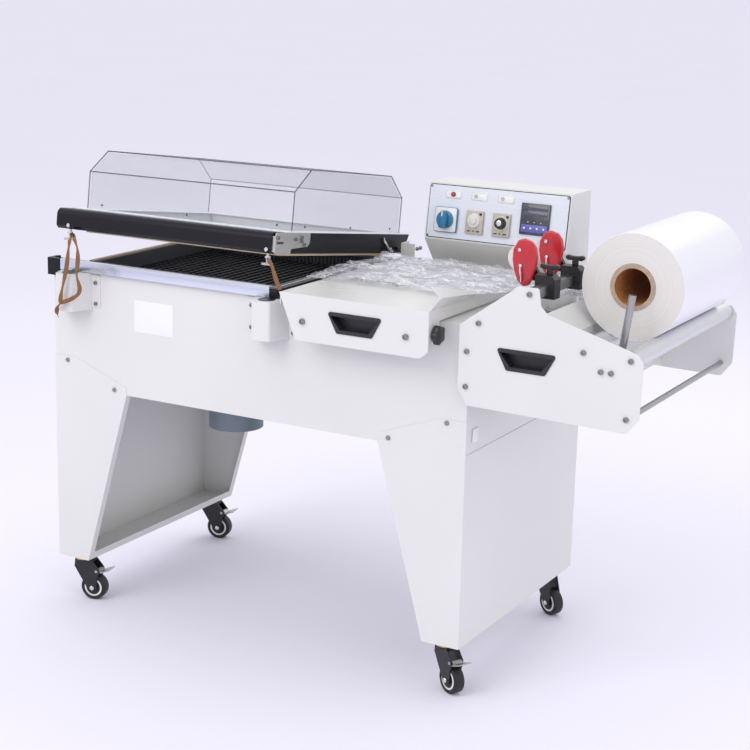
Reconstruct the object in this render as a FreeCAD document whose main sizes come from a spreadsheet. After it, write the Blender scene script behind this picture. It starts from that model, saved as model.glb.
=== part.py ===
"""L bar sealer: a sealing lid over a shrink chamber, a packing table and a film carriage.

The model is worked out in a machine frame: X runs right from the outside of the left leg,
Y runs back from the front of the legs and Z runs up from the floor. HOME then moves every
piece so that the origin stands under the middle of the whole machine.
"""
import FreeCAD, Part
import math
import os

from FreeCAD import Placement, Rotation, Vector
import Sketcher

doc = FreeCAD.newDocument("LBarSealer")
sheet = doc.addObject("Spreadsheet::Sheet", "Sizes")

# Driving sizes in millimetres and degrees. Every size that can be set by itself stands here once.
DRIVING_SIZES = {
    # housing
    "body_length": 1080,
    "body_depth": 608,
    "body_floor": 539,
    "deck_height": 815,
    "plate": 1.5,
    "floor_lip": 20,
    # legs
    "leg_base": 112,
    "leg_foot_width": 88,
    "leg_shoulder_width": 208,
    "leg_plate_top": 611,
    "leg_plate_crown": 62,
    "leg_plate_ear": 557,
    "leg_lip": 18,
    "leg_corner_radius": 9,
    # casters
    "caster_inset_side": 47,
    "caster_inset_end": 38,
    "caster_trail": 26,
    "caster_left_turn": 12,
    "caster_right_turn": -28,
    "caster_plate_side": 62,
    "caster_plate_thick": 3,
    "raceway_radius": 23,
    "raceway_height": 7,
    "wheel_radius": 31.5,
    "wheel_width": 22,
    "wheel_gap": 1.5,
    "fork_cheek": 3,
    "caster_axle_radius": 5,
    "running_gap": 0.05,
    "pedal_width": 34,
    "pedal_lift": 11,
    "pedal_pivot_reach": 11,
    "pedal_pivot_radius": 3.5,
    # chamber
    "chamber_left": 95,
    "chamber_right": 585,
    "chamber_front": 45,
    "chamber_back": 505,
    "chamber_floor": 640,
    "liner_wall": 1.5,
    "rim_flange": 15,
    "rim_height": 834,
    "rim_gasket_thick": 4,
    "rim_gasket_width": 12,
    "grid_height": 796,
    "wire": 3,
    "grid_pitch": 20,
    "guard_pitch": 10.6,
    "guard_foot": 700,
    "rear_rail": 6,
    # hot air
    "fan_across": 324,
    "fan_back": 280,
    "motor_radius": 66,
    "motor_bottom": 423,
    "motor_top": 600,
    "motor_shaft_radius": 6,
    "impeller_radius": 92,
    "impeller_hub_radius": 24,
    "impeller_height": 42,
    "impeller_lift": 18,
    "blade_thick": 2,
    "heater_radius": 6,
    "heater_pitch": 28,
    "heater_height": 745,
    # lower jaws
    "jaw_left_overhang": 10,
    "jaw_right_end": 622,
    "jaw_front": -8,
    "jaw_back": 30,
    "jaw_top": 836,
    "jaw_apron_bottom": 817,
    "jaw_end_reach": 24,
    "jaw_end_back": 28,
    "jaw_end_bottom": 801,
    "jaw_end_top": 841,
    "right_jaw_width": 34,
    "right_jaw_back": 504,
    "seal_wire": 3,
    "seal_wire_height": 0.8,
    "guard_strip_left": 72,
    "guard_strip_right": 602,
    "guard_strip_bottom": 817,
    # magnets
    "left_magnet_across": 70,
    "right_magnet_across": 606,
    "magnet_front": -24,
    "magnet_radius": 19,
    "magnet_foot_gap": 30,
    "magnet_top": 816.5,
    "bracket_front": -50,
    "bracket_top": 816,
    "bracket_bottom": 730,
    "bracket_face_width": 45,
    "bracket_root_width": 85,
    "bracket_flange": 24,
    # lid hinge
    "hinge_back": 530,
    "hinge_height": 850,
    "hinge_radius": 8,
    "post_width": 36,
    "post_depth": 36,
    "post_top": 872,
    "right_post_left": 640,
    "left_post_left": 42,
    "lid_open": 7.62,
    # lid, measured from the hinge axis with the lid shut
    "lid_nose": 561,
    "lid_bar_back": 508,
    "lid_bar_left": 34,
    "lid_bar_right": 616,
    "lid_bar_under": 8,
    "lid_bar_rise": 38,
    "nose_radius": 15,
    "nose_undercut": 7,
    "right_bar_tail": 25,
    "right_bar_tail_top": 50,
    "right_bar_step": 6,
    "right_bar_step_height": 15,
    "butt_gap": 0.3,
    "seal_thick": 4.7,
    "seal_width": 12,
    "seal_left": 92,
    "ledge_thick": 2,
    "ledge_left": 46,
    "ledge_back": 28,
    "ledge_inner": 48,
    "skirt_thick": 2,
    "skirt_drop": 10,
    "skirt_front": 505,
    "skirt_back": 22,
    "hood_left": 48,
    "hood_right": 610,
    "hood_front": 471,
    "hood_rear": 20,
    "hood_wall": 85,
    "hood_height": 134.6,
    "hood_crown_inset": 62,
    "hood_thick": 4,
    "corner_plate": 2,
    "lug_thick": 6,
    "lug_width": 34,
    "armature_radius": 13,
    "armature_thick": 4,
    "armature_stud_radius": 3,
    "magnet_air_gap": 0.8,
    # packing table
    "table_left": 663,
    "table_right": 1017,
    "table_front": 60,
    "table_back": 468,
    "table_height": 846,
    "table_sheet": 2,
    "table_skirt": 26,
    "table_face_bottom": 747,
    "table_face_foot_left": 702,
    "table_face_foot_right": 1000,
    "table_face_radius": 16,
    "spreader_reach": 25,
    "spreader_tip": 31,
    "spreader_height": 52,
    "spreader_length": 200,
    "rail_width": 18,
    "slide_gap": 0.3,
    "rail_front": -40,
    "lock_knob_back": 38,
    "lock_knob_height": 796,
    "lock_knob_radius": 21,
    "lock_knob_thick": 14,
    # recessed handles
    "handle_top_width": 131,
    "handle_foot_width": 84,
    "handle_height": 44,
    "handle_lip": 2,
    "handle_rim": 8,
    "handle_depth": 22,
    "handle_wall": 2,
    "table_handle_left": 780,
    "table_handle_bottom": 774,
    "carriage_handle_left_past": 69,
    "carriage_handle_bottom": 739,
    # film carriage
    "carriage_front": 20,
    "carriage_back": 560,
    "carriage_plate": 2.5,
    "carriage_left_past": -14,
    "carriage_rear_left_past": 4,
    "carriage_right_past": 378,
    "carriage_bottom": 648,
    "slide_rod_across_past": 11,
    "slide_rod_upper": 766,
    "slide_rod_lower": 693,
    "slide_rod_radius": 8,
    "tie_rod_across_past": 350,
    "tie_rod_rise": 29,
    "tie_rod_radius": 6,
    "slide_block_front": 80,
    "slide_block_back": 370,
    "slide_block_depth": 30,
    "slide_block_side": 24,
    "roller_inner_across_past": 242,
    "roller_outer_across_past": 350,
    "roller_height": 794,
    "roller_radius": 19,
    "roller_axle_radius": 6,
    "roller_end_gap": 2,
    "film_front": 119,
    "film_width": 378,
    "film_radius": 108,
    "core_inner_radius": 38,
    "core_outer_radius": 47.5,
    "film_rest_gap": 0.3,
    "stop_rod_radius": 7.5,
    "stop_rod_front": 50,
    "stop_rod_across_past": 303,
    "stop_rod_drop": 32,
    "stop_rod_length": 147,
    "stop_rod_lean": 7.5,
    "cross_sheet_across_past": 210,
    # perforators
    "perforator_bar_across_past": 136,
    "perforator_bar_height": 897,
    "perforator_bar_side": 20,
    "front_perforator": 65,
    "rear_perforator": 195,
    "clamp_depth": 28,
    "clamp_wall": 12,
    "needle_wheel_across_past": 75,
    "needle_wheel_height": 952,
    "needle_wheel_radius": 27,
    "needle_wheel_thick": 4,
    "needle_axle_radius": 4,
    "cover_thick": 12,
    "cover_wall": 2,
    "clamp_knob_span": 42,
    # film over the table, and the ties on the lid's studs
    "web_left": 632,
    "web_front": 95,
    "web_back": 452,
    "web_thick": 5,
    "web_lift": 0.6,
    "web_right_past": 100,
    "web_crossing": 200,
    "web_rise": 17,
    "tie_front": 63.2,
    "tie_thick": 1,
    "tie_width": 7,
    # control box
    "box_left": 719,
    "box_top": 1027,
    "box_top_front": 500,
    "box_belly_front": 480,
    "box_belly_height": 897,
    "box_foot_front": 540,
    "box_foot_height": 823,
    "box_foot_lip": 12,
    "box_wall": 1.5,
    "box_cavity": 80,
    "panel_margin": 5,
    "panel_thick": 2,
    "switch_plate": 56,
    "switch_plate_thick": 7,
    "timer_width": 44,
    "timer_height": 54,
    "timer_thick": 6,
    "switch_across": 54,
    "switch_up": 47,
    "timer_left_across": 128,
    "timer_right_across": 196,
    "controller_across": 278,
    "controller_up": 68,
    "controller_side": 72,
    "controller_thick": 5,
    "control_gap": 0.4,
}


class Size:
    """A number that keeps its spreadsheet formula beside its value."""

    def __init__(self, value, formula):
        self.value = float(value)
        self.formula = formula

    def joined(self, other, value, sign, swap=False):
        text = other.formula if isinstance(other, Size) else repr(float(other))
        left, right = (text, self.formula) if swap else (self.formula, text)
        return Size(value, "(%s %s %s)" % (left, sign, right))

    def __add__(self, other):
        return self.joined(other, self.value + number(other), "+")

    def __radd__(self, other):
        return self.joined(other, number(other) + self.value, "+", True)

    def __sub__(self, other):
        return self.joined(other, self.value - number(other), "-")

    def __rsub__(self, other):
        return self.joined(other, number(other) - self.value, "-", True)

    def __mul__(self, other):
        return self.joined(other, self.value * number(other), "*")

    def __rmul__(self, other):
        return self.joined(other, number(other) * self.value, "*", True)

    def __truediv__(self, other):
        return self.joined(other, self.value / number(other), "/")

    def __neg__(self):
        return Size(-self.value, "(0 - %s)" % self.formula)


def number(size):
    return size.value if isinstance(size, Size) else float(size)


def formula(size):
    return size.formula if isinstance(size, Size) else repr(float(size))


class Sizes:
    """The spreadsheet's rows as attributes, one Size each."""


s = Sizes()
for row, (name, amount) in enumerate(DRIVING_SIZES.items(), start=1):
    sheet.set("A%d" % row, name)
    sheet.set("B%d" % row, str(amount))
    sheet.setAlias("B%d" % row, name)
    setattr(s, name, Size(amount, "Sizes." + name))
doc.recompute()

# What the film carriage carries is placed from the housing's right side.
for name in ("carriage_handle_left", "carriage_left", "carriage_rear_left", "carriage_right",
             "slide_rod_across", "tie_rod_across", "roller_inner_across", "roller_outer_across",
             "stop_rod_across", "cross_sheet_across", "perforator_bar_across",
             "needle_wheel_across", "web_right"):
    setattr(s, name, s.body_length + getattr(s, name + "_past"))
s.tie_rod_height = s.carriage_bottom + s.tie_rod_rise
s.stop_rod_height = s.roller_height - s.stop_rod_drop

# The whole machine reaches from the jaw's left end to the film roll and from the table's
# handle to the back of the legs; the origin stands under the middle of that.
roll_across = (s.roller_inner_across + s.roller_outer_across) / 2
centre_across = (roll_across + s.film_radius - s.jaw_left_overhang) / 2
centre_back = (s.body_depth - s.table_front - s.plate - s.handle_lip) / 2

HOME = Placement(Vector(-centre_across.value, -centre_back.value, 0), Rotation())
LID = HOME * Placement(Vector(0, s.hinge_back.value, s.hinge_height.value),
                       Rotation(Vector(1, 0, 0), -s.lid_open.value))
panel_lean = math.degrees(math.atan2((s.box_top_front - s.box_belly_front).value,
                                     (s.box_top - s.box_belly_height).value))
PANEL = HOME * Placement(Vector(s.box_left.value, s.box_belly_front.value,
                                s.box_belly_height.value),
                         Rotation(Vector(1, 0, 0), -panel_lean))
ALONG_Y = Rotation(Vector(1, 0, 0), -90)
ALONG_X = Rotation(Vector(0, 1, 0), 90)
UPRIGHT = Rotation()

NODES = []


def node(thing, label, home=HOME):
    """Name a finished piece, seat it in the machine and list it for export."""
    thing.Label = label
    thing.Placement = home
    NODES.append(thing)
    return thing


def bind(thing, path, size):
    thing.setExpression(path, formula(size))


def new_body(name):
    return doc.addObject("PartDesign::Body", name)


def base_plane(body, role):
    for feature in body.Origin.OriginFeatures:
        if feature.Role == role:
            return feature
    raise RuntimeError("the body has no plane " + role)


def new_sketch(body, plane, level):
    """An empty sketch parallel to a base plane, level millimetres along that plane's axis."""
    sketch = body.newObject("Sketcher::SketchObject", "Sketch")
    sketch.AttachmentSupport = [(base_plane(body, plane + "_Plane"), "")]
    sketch.MapMode = "FlatFace"
    along_normal = -level if plane == "XZ" else level
    if plane == "XZ" and not isinstance(level, Size):
        along_normal = -float(level)
    bind(sketch, "AttachmentOffset.Base.z", along_normal)
    return sketch


def fix(sketch, kind, geometry, point, size):
    """Tie one point of the sketch to its origin by a size in the sheet."""
    index = sketch.addConstraint(
        Sketcher.Constraint("Distance" + kind, -1, 1, geometry, point, number(size)))
    title = "%s%d_%d" % (kind, geometry, point)
    sketch.renameConstraint(index, title)
    sketch.setExpression("Constraints." + title, formula(size))


def draw_outline(sketch, corners):
    """A closed straight-sided outline; corners are pairs of sizes."""
    first = sketch.GeometryCount
    points = [Vector(number(across), number(up), 0) for across, up in corners]
    count = len(points)
    for index in range(count):
        sketch.addGeometry(Part.LineSegment(points[index], points[(index + 1) % count]), False)
    for index in range(count):
        sketch.addConstraint(Sketcher.Constraint(
            "Coincident", first + index, 2, first + (index + 1) % count, 1))
    for index, (across, up) in enumerate(corners):
        fix(sketch, "X", first + index, 1, across)
        fix(sketch, "Y", first + index, 1, up)


def draw_circle(sketch, across, up, radius):
    centre = Vector(number(across), number(up), 0)
    index = sketch.addGeometry(Part.Circle(centre, Vector(0, 0, 1), number(radius)), False)
    fix(sketch, "X", index, 3, across)
    fix(sketch, "Y", index, 3, up)
    title = "Radius%d" % index
    constraint = sketch.addConstraint(Sketcher.Constraint("Radius", index, number(radius)))
    sketch.renameConstraint(constraint, title)
    sketch.setExpression("Constraints." + title, formula(radius))


def prism(body, plane, level, depth, corners=None, circles=(), cut=False):
    """Pad or pocket an outline from level, depth millimetres towards the plane's positive axis."""
    sketch = new_sketch(body, plane, level)
    if corners:
        draw_outline(sketch, corners)
    for across, up, radius in circles:
        draw_circle(sketch, across, up, radius)
    kind = "PartDesign::Pocket" if cut else "PartDesign::Pad"
    feature = body.newObject(kind, "Pocket" if cut else "Pad")
    feature.Profile = sketch
    feature.Reversed = (plane == "XZ") != cut
    bind(feature, "Length", depth)
    doc.recompute()
    return feature


def rectangle(left, bottom, right, top):
    return [(left, bottom), (right, bottom), (right, top), (left, top)]


def turned(name, profile):
    """A body turned about its own Z axis; profile is pairs of radius and height."""
    body = new_body(name)
    sketch = new_sketch(body, "XZ", 0)
    draw_outline(sketch, profile)
    feature = body.newObject("PartDesign::Revolution", "Revolution")
    feature.Profile = sketch
    feature.ReferenceAxis = (sketch, ["V_Axis"])
    feature.Angle = 360
    doc.recompute()
    return body


def round_edges(body, radius, chosen, kind="Fillet"):
    """Round or chamfer the edges of the body's tip that chosen accepts."""
    tip = body.Tip
    names = ["Edge%d" % index for index, edge in enumerate(tip.Shape.Edges, start=1)
             if chosen(edge)]
    if not names:
        raise RuntimeError("no edge to round on " + body.Name)
    feature = body.newObject("PartDesign::" + kind, kind)
    feature.Base = (tip, names)
    bind(feature, "Radius" if kind == "Fillet" else "Size", radius)
    doc.recompute()
    return feature


def edge_at(axis, *places):
    """Chooses straight edges along an axis that stand at one of the given places."""
    others = [name for name in "xyz" if name != axis]

    def chosen(edge):
        start, end = edge.Vertexes[0].Point, edge.Vertexes[-1].Point
        for name in others:
            if abs(getattr(start, name) - getattr(end, name)) > 1e-4:
                return False
        for place in places:
            if all(abs(getattr(start, name) - number(size)) < 1e-3
                   for name, size in zip(others, place)):
                return True
        return False
    return chosen


def group(label, pieces, home=HOME):
    compound = doc.addObject("Part::Compound", label)
    compound.Links = pieces
    return node(compound, label, home)


def box(name, corner, length, width, height):
    piece = doc.addObject("Part::Box", name)
    bind(piece, "Length", length)
    bind(piece, "Width", width)
    bind(piece, "Height", height)
    for axis, size in zip("xyz", corner):
        bind(piece, "Placement.Base." + axis, size)
    return piece


def rod(name, corner, radius, length, turn=UPRIGHT):
    piece = doc.addObject("Part::Cylinder", name)
    bind(piece, "Radius", radius)
    bind(piece, "Height", length)
    piece.Placement = Placement(Vector(*[number(size) for size in corner]), turn)
    return piece


def at(across, back, up, turn=UPRIGHT):
    """A seat in the machine frame."""
    return HOME * Placement(Vector(number(across), number(back), number(up)), turn)


# ---------------------------------------------------------------- housing and legs

def build_body_shell():
    body = new_body("BodyShell")
    near = s.plate
    far_side = s.body_length - s.plate
    far_back = s.body_depth - s.plate
    wall = s.plate
    outline = rectangle(near, near, far_side, far_back)
    prism(body, "XY", s.body_floor, s.deck_height - s.body_floor, outline)
    inner = rectangle(near + wall, near + wall, far_side - wall, far_back - wall)
    prism(body, "XY", s.body_floor + wall, s.deck_height - s.body_floor - wall * 2, inner,
          cut=True)
    lip = rectangle(near + s.floor_lip, near + s.floor_lip, far_side - s.floor_lip,
                    far_back - s.floor_lip)
    prism(body, "XY", s.body_floor, wall, lip, cut=True)
    gap = s.liner_wall
    opening = rectangle(s.chamber_left - gap, s.jaw_back + gap, s.chamber_right + gap,
                        s.chamber_back + gap)
    prism(body, "XY", s.deck_height - wall, wall, opening, cut=True)
    node(body, "body_shell")


def build_legs():
    body = new_body("LeftLeg")
    slope = (s.leg_shoulder_width - s.leg_foot_width) / (s.body_floor - s.leg_base)
    profile = [(s.plate * 0, s.leg_base), (s.leg_foot_width, s.leg_base),
               (s.leg_shoulder_width, s.body_floor), (s.plate * 0, s.body_floor)]
    prism(body, "XZ", 0, s.body_depth, profile)
    inside = rectangle(s.plate, s.leg_base + s.plate, s.leg_shoulder_width + s.plate,
                       s.body_floor + s.plate)
    prism(body, "XZ", s.plate, s.body_depth - s.plate * 2, inside, cut=True)
    ear = [(s.plate * 0, s.body_floor - s.plate), (s.leg_shoulder_width - s.plate * slope,
                                                  s.body_floor - s.plate),
           (s.leg_shoulder_width, s.body_floor), (s.leg_shoulder_width, s.leg_plate_ear),
           (s.leg_plate_crown, s.leg_plate_top), (s.plate * 0, s.leg_plate_top)]
    prism(body, "XZ", 0, s.plate, ear)
    prism(body, "XZ", s.body_depth - s.plate, s.plate, ear)
    slant = [(s.leg_foot_width - s.plate, s.leg_base), (s.leg_foot_width, s.leg_base),
             (s.leg_shoulder_width, s.body_floor),
             (s.leg_shoulder_width - s.plate, s.body_floor)]
    prism(body, "XZ", 0, s.leg_lip, slant)
    prism(body, "XZ", s.body_depth - s.leg_lip, s.leg_lip, slant)
    foot = [(s.leg_foot_width - s.plate, s.leg_base), (s.leg_foot_width, s.leg_base),
            (s.leg_foot_width + s.leg_lip * slope, s.leg_base + s.leg_lip),
            (s.leg_foot_width + s.leg_lip * slope - s.plate, s.leg_base + s.leg_lip)]
    prism(body, "XZ", 0, s.body_depth, foot)
    round_edges(body, s.leg_corner_radius, edge_at("y", (s.leg_shoulder_width, s.leg_plate_ear)))
    mirror = doc.addObject("Part::Mirroring", "RightLeg")
    mirror.Source = body
    mirror.Normal = Vector(1, 0, 0)
    bind(mirror, "Base.x", s.body_length / 2)
    group("legs", [body, mirror])


# ---------------------------------------------------------------- casters

caster_head = s.leg_base - s.caster_plate_thick - s.raceway_height
pedal_pivot_height = s.wheel_radius * 2 + s.pedal_lift
CASTERS = {
    "front_left": (s.caster_inset_side, s.caster_inset_end, s.caster_left_turn, True),
    "rear_left": (s.caster_inset_side, s.body_depth - s.caster_inset_end,
                  s.caster_left_turn, True),
    "front_right": (s.body_length - s.caster_inset_side, s.caster_inset_end,
                    s.caster_right_turn, True),
    "rear_right": (s.body_length - s.caster_inset_side, s.body_depth - s.caster_inset_end,
                   s.caster_right_turn, False),
}


def build_caster_plate(place, across, back):
    half = s.caster_plate_side / 2
    body = new_body("CasterPlate_" + place)
    prism(body, "XY", s.leg_base - s.caster_plate_thick, s.caster_plate_thick,
          rectangle(across - half, back - half, across + half, back + half))
    prism(body, "XY", caster_head, s.raceway_height, None, [(across, back, s.raceway_radius)])
    return body


def build_fork(place, seat, braked):
    """Two cheeks under a turntable, with the axle between them and ears for a brake pedal."""
    body = new_body("Fork_" + place)
    half = s.wheel_width / 2 + s.wheel_gap + s.fork_cheek
    top = caster_head - s.running_gap * 4
    head_radius = s.raceway_radius - 2
    cheek = [(-s.raceway_radius + 4, top), (s.raceway_radius, top),
             (s.caster_trail + 12, s.wheel_radius + 22), (s.caster_trail + 10, s.wheel_radius - 9),
             (s.caster_trail - 9, s.wheel_radius - 11), (-s.raceway_radius + 2, top - 20)]
    rounded = [cheek[3], cheek[4]]
    if braked:
        ear = s.caster_trail + s.pedal_pivot_reach + s.pedal_pivot_radius + 3
        cheek[2:2] = [(ear, pedal_pivot_height + 4), (ear, pedal_pivot_height - 5)]
    prism(body, "XZ", -half, half * 2, cheek)
    round_edges(body, 8, edge_at("y", *rounded))
    if braked:
        prism(body, "XZ", -half, half * 2, None,
              [(s.caster_trail + s.pedal_pivot_reach, pedal_pivot_height,
                s.pedal_pivot_radius + s.running_gap)], cut=True)
    slot = half - s.fork_cheek
    prism(body, "XZ", -slot, slot * 2,
          rectangle(-s.raceway_radius, 0, s.caster_trail + s.wheel_radius, top - 5), cut=True)
    prism(body, "XY", top - 5, 5, None, [(s.plate * 0, s.plate * 0, head_radius)])
    prism(body, "XZ", -half - 2, half * 2 + 4, None,
          [(s.caster_trail, s.wheel_radius, s.caster_axle_radius)])
    node(body, "fork_" + place, seat)


def build_wheel(place, seat):
    half = s.wheel_width / 2
    rim = s.wheel_radius - 9
    bore = s.caster_axle_radius + s.running_gap
    hub = bore + 5
    dish = half - 4
    profile = [(bore, -half - 1), (hub, -half - 1), (hub, -dish), (rim, -dish), (rim, -half),
               (s.wheel_radius, -half), (s.wheel_radius, half), (rim, half), (rim, dish),
               (hub, dish), (hub, half + 1), (bore, half + 1)]
    body = turned("Wheel_" + place, profile)
    node(body, "wheel_" + place,
         seat * Placement(Vector(s.caster_trail.value, 0, s.wheel_radius.value), ALONG_Y))


def build_pedal(place, seat):
    """The brake's treadle, turning on a pin between the fork's ears."""
    half = s.pedal_width / 2
    neck = s.wheel_width / 2 + s.wheel_gap - s.control_gap
    body = new_body("Pedal_" + place)
    pivot = s.caster_trail + s.pedal_pivot_reach
    up = pedal_pivot_height
    blade = [(pivot - 3, up - 4), (pivot + 11, up - 3), (pivot + 35, up + 6),
             (pivot + 34, up + 8), (pivot + 11, up), (pivot + 3, up + 5), (pivot - 3, up + 4)]
    prism(body, "XZ", -neck, neck * 2, blade)
    tread = [(pivot + 11, up - 3), (pivot + 35, up + 6), (pivot + 34, up + 8), (pivot + 11, up)]
    prism(body, "XZ", -half, half * 2, tread)
    pin = neck + s.fork_cheek + 2
    prism(body, "XZ", -pin, pin * 2, None, [(pivot, up, s.pedal_pivot_radius)])
    node(body, "brake_pedal_" + place, seat)


def build_casters():
    plates = []
    for place, (across, back, turn, braked) in CASTERS.items():
        seat = at(across, back, 0, Rotation(Vector(0, 0, 1), turn.value))
        plates.append(build_caster_plate(place, across, back))
        build_fork(place, seat, braked)
        build_wheel(place, seat)
        if braked:
            build_pedal(place, seat)
    group("caster_plates", plates)


# ---------------------------------------------------------------- shrink chamber

def build_chamber_liner():
    body = new_body("ChamberLiner")
    outline = rectangle(s.chamber_left, s.chamber_front, s.chamber_right, s.chamber_back)
    prism(body, "XY", s.chamber_floor, s.rim_height - s.chamber_floor, outline)
    wall = s.liner_wall
    inner = rectangle(s.chamber_left + wall, s.chamber_front + wall, s.chamber_right - wall,
                      s.chamber_back - wall)
    prism(body, "XY", s.chamber_floor + wall, s.rim_height - s.chamber_floor - wall, inner,
          cut=True)
    left_rim = rectangle(s.chamber_left - s.rim_flange, s.jaw_back + s.butt_gap,
                         s.chamber_left + wall, s.chamber_back + s.rim_flange)
    prism(body, "XY", s.rim_height - wall, wall, left_rim)
    back_rim = rectangle(s.chamber_left - s.rim_flange, s.chamber_back - wall,
                         s.chamber_right, s.chamber_back + s.rim_flange)
    prism(body, "XY", s.rim_height - wall, wall, back_rim)
    prism(body, "XY", s.chamber_floor, wall, None,
          [(s.fan_across, s.fan_back, s.motor_shaft_radius + 4)], cut=True)
    node(body, "chamber_liner")


def build_rim_gasket():
    body = new_body("RimGasket")
    outer = s.chamber_left - s.rim_flange + 1
    far = s.chamber_back + s.rim_flange - 1
    width = s.rim_gasket_width
    corner = [(outer, s.jaw_back + 2), (outer + width, s.jaw_back + 2),
              (outer + width, far - width), (s.chamber_right, far - width),
              (s.chamber_right, far), (outer, far)]
    prism(body, "XY", s.rim_height, s.rim_gasket_thick, corner)
    node(body, "rim_gasket")


def build_wire_grids():
    """The black wire floor of the chamber and the guard before its back wall."""
    wires = []
    left = s.chamber_left + s.liner_wall + 2
    right = s.chamber_right - s.liner_wall - 2
    front = s.chamber_front + s.liner_wall + 2
    guard_back = s.chamber_back - s.liner_wall - 2
    back = guard_back - s.wire - 4
    count_across = int((right - left).value // s.grid_pitch.value)
    count_back = int((back - front).value // s.grid_pitch.value)
    for index in range(count_back + 1):
        wires.append(box("GridAcross", (left, front + s.grid_pitch * index, s.grid_height),
                         right - left, s.wire, s.wire))
    for index in range(count_across + 1):
        wires.append(box("GridBack", (left + s.grid_pitch * index, front,
                                      s.grid_height + s.wire), s.wire, back - front, s.wire))
    count_guard = int((right - left).value // s.guard_pitch.value)
    guard_top = s.rim_height - 4
    for index in range(count_guard + 1):
        wires.append(box("GuardUp", (left + s.guard_pitch * index, guard_back - s.wire,
                                     s.guard_foot), s.wire, s.wire, guard_top - s.guard_foot))
    for height in (s.guard_foot + 20, s.grid_height - 8, guard_top - s.wire):
        wires.append(box("GuardAcross", (left, guard_back - s.wire * 2, height),
                         right - left, s.wire, s.wire))
    group("wire_grids", wires)


def build_fan():
    motor = turned("Motor", [
        (0, s.motor_bottom), (s.motor_radius, s.motor_bottom),
        (s.motor_radius, s.motor_top - 14),
        (s.motor_radius + 16, s.motor_top - 14), (s.motor_radius + 16, s.motor_top),
        (22, s.motor_top), (22, s.chamber_floor), (0, s.chamber_floor)])
    node(motor, "fan_motor", at(s.fan_across, s.fan_back, 0))

    hub = new_body("Impeller")
    low = s.chamber_floor + s.impeller_lift
    zero = s.plate * 0
    prism(hub, "XY", low, s.plate, None, [(zero, zero, s.impeller_radius)])
    prism(hub, "XY", s.chamber_floor + s.running_gap * 6, s.impeller_lift + s.impeller_height,
          None, [(zero, zero, s.impeller_hub_radius / 3)])
    blade = prism(hub, "XY", low, s.impeller_height,
                  rectangle(s.impeller_hub_radius / 4, -s.blade_thick / 2,
                            s.impeller_radius - 3, s.blade_thick / 2))
    pattern = hub.newObject("PartDesign::PolarPattern", "PolarPattern")
    pattern.Originals = [blade]
    pattern.Axis = (base_plane(hub, "Z_Axis"), [""])
    pattern.Angle = 360
    pattern.Occurrences = 8
    hub.Tip = pattern
    doc.recompute()
    node(hub, "fan_impeller", at(s.fan_across, s.fan_back, 0))

    tubes = []
    reach = s.chamber_back - s.chamber_front - 60
    for row in range(3):
        across = s.chamber_right - s.liner_wall - 20 - s.heater_pitch * row
        tubes.append(rod("Heater", (across, s.chamber_front + 30, s.heater_height),
                         s.heater_radius, reach, ALONG_Y))
    group("heater_tubes", tubes)


# ---------------------------------------------------------------- lower jaws and magnets

def build_lower_jaws():
    front = new_body("FrontJaw")
    step = s.plate * 0
    profile = [(s.jaw_front, s.jaw_apron_bottom), (step, s.jaw_apron_bottom),
               (step, s.deck_height), (s.jaw_back, s.deck_height), (s.jaw_back, s.jaw_top),
               (s.jaw_front, s.jaw_top)]
    prism(front, "YZ", -s.jaw_left_overhang, s.jaw_right_end + s.jaw_left_overhang, profile)
    round_edges(front, 6, edge_at("x", (s.jaw_front, s.jaw_top)))
    end = -s.jaw_left_overhang
    prism(front, "XY", s.jaw_end_bottom, s.jaw_end_top - s.jaw_end_bottom, [
        (end, s.jaw_front), (s.jaw_end_reach, s.jaw_front), (s.jaw_end_reach, step),
        (step, step), (step, s.jaw_end_back), (end, s.jaw_end_back)])
    right = new_body("RightJaw")
    near = s.jaw_right_end - s.right_jaw_width
    prism(right, "XZ", s.jaw_back + s.butt_gap, s.right_jaw_back - s.jaw_back - s.butt_gap,
          rectangle(near, s.deck_height, s.jaw_right_end, s.jaw_top))
    prism(right, "XZ", s.jaw_back, s.right_jaw_back - s.jaw_back,
          rectangle(s.jaw_right_end - 4, s.deck_height + 5, s.jaw_right_end,
                    s.deck_height + 10), cut=True)
    group("lower_jaws", [front, right])

    strip = new_body("GuardStrip")
    prism(strip, "YZ", s.guard_strip_left, s.guard_strip_right - s.guard_strip_left,
          rectangle(s.jaw_front - s.plate, s.guard_strip_bottom, s.jaw_front,
                    s.jaw_top - 7))
    node(strip, "jaw_guard_strip")

    wire_back = (s.jaw_front + s.jaw_back) / 2
    wire_across = s.jaw_right_end - s.right_jaw_width / 2
    wires = [
        box("FrontWire", (s.seal_left, wire_back, s.jaw_top),
            wire_across - s.seal_left, s.seal_wire, s.seal_wire_height),
        box("RightWire", (wire_across, wire_back, s.jaw_top), s.seal_wire,
            s.right_jaw_back - wire_back - 6, s.seal_wire_height)]
    group("seal_wires", wires)


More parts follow.
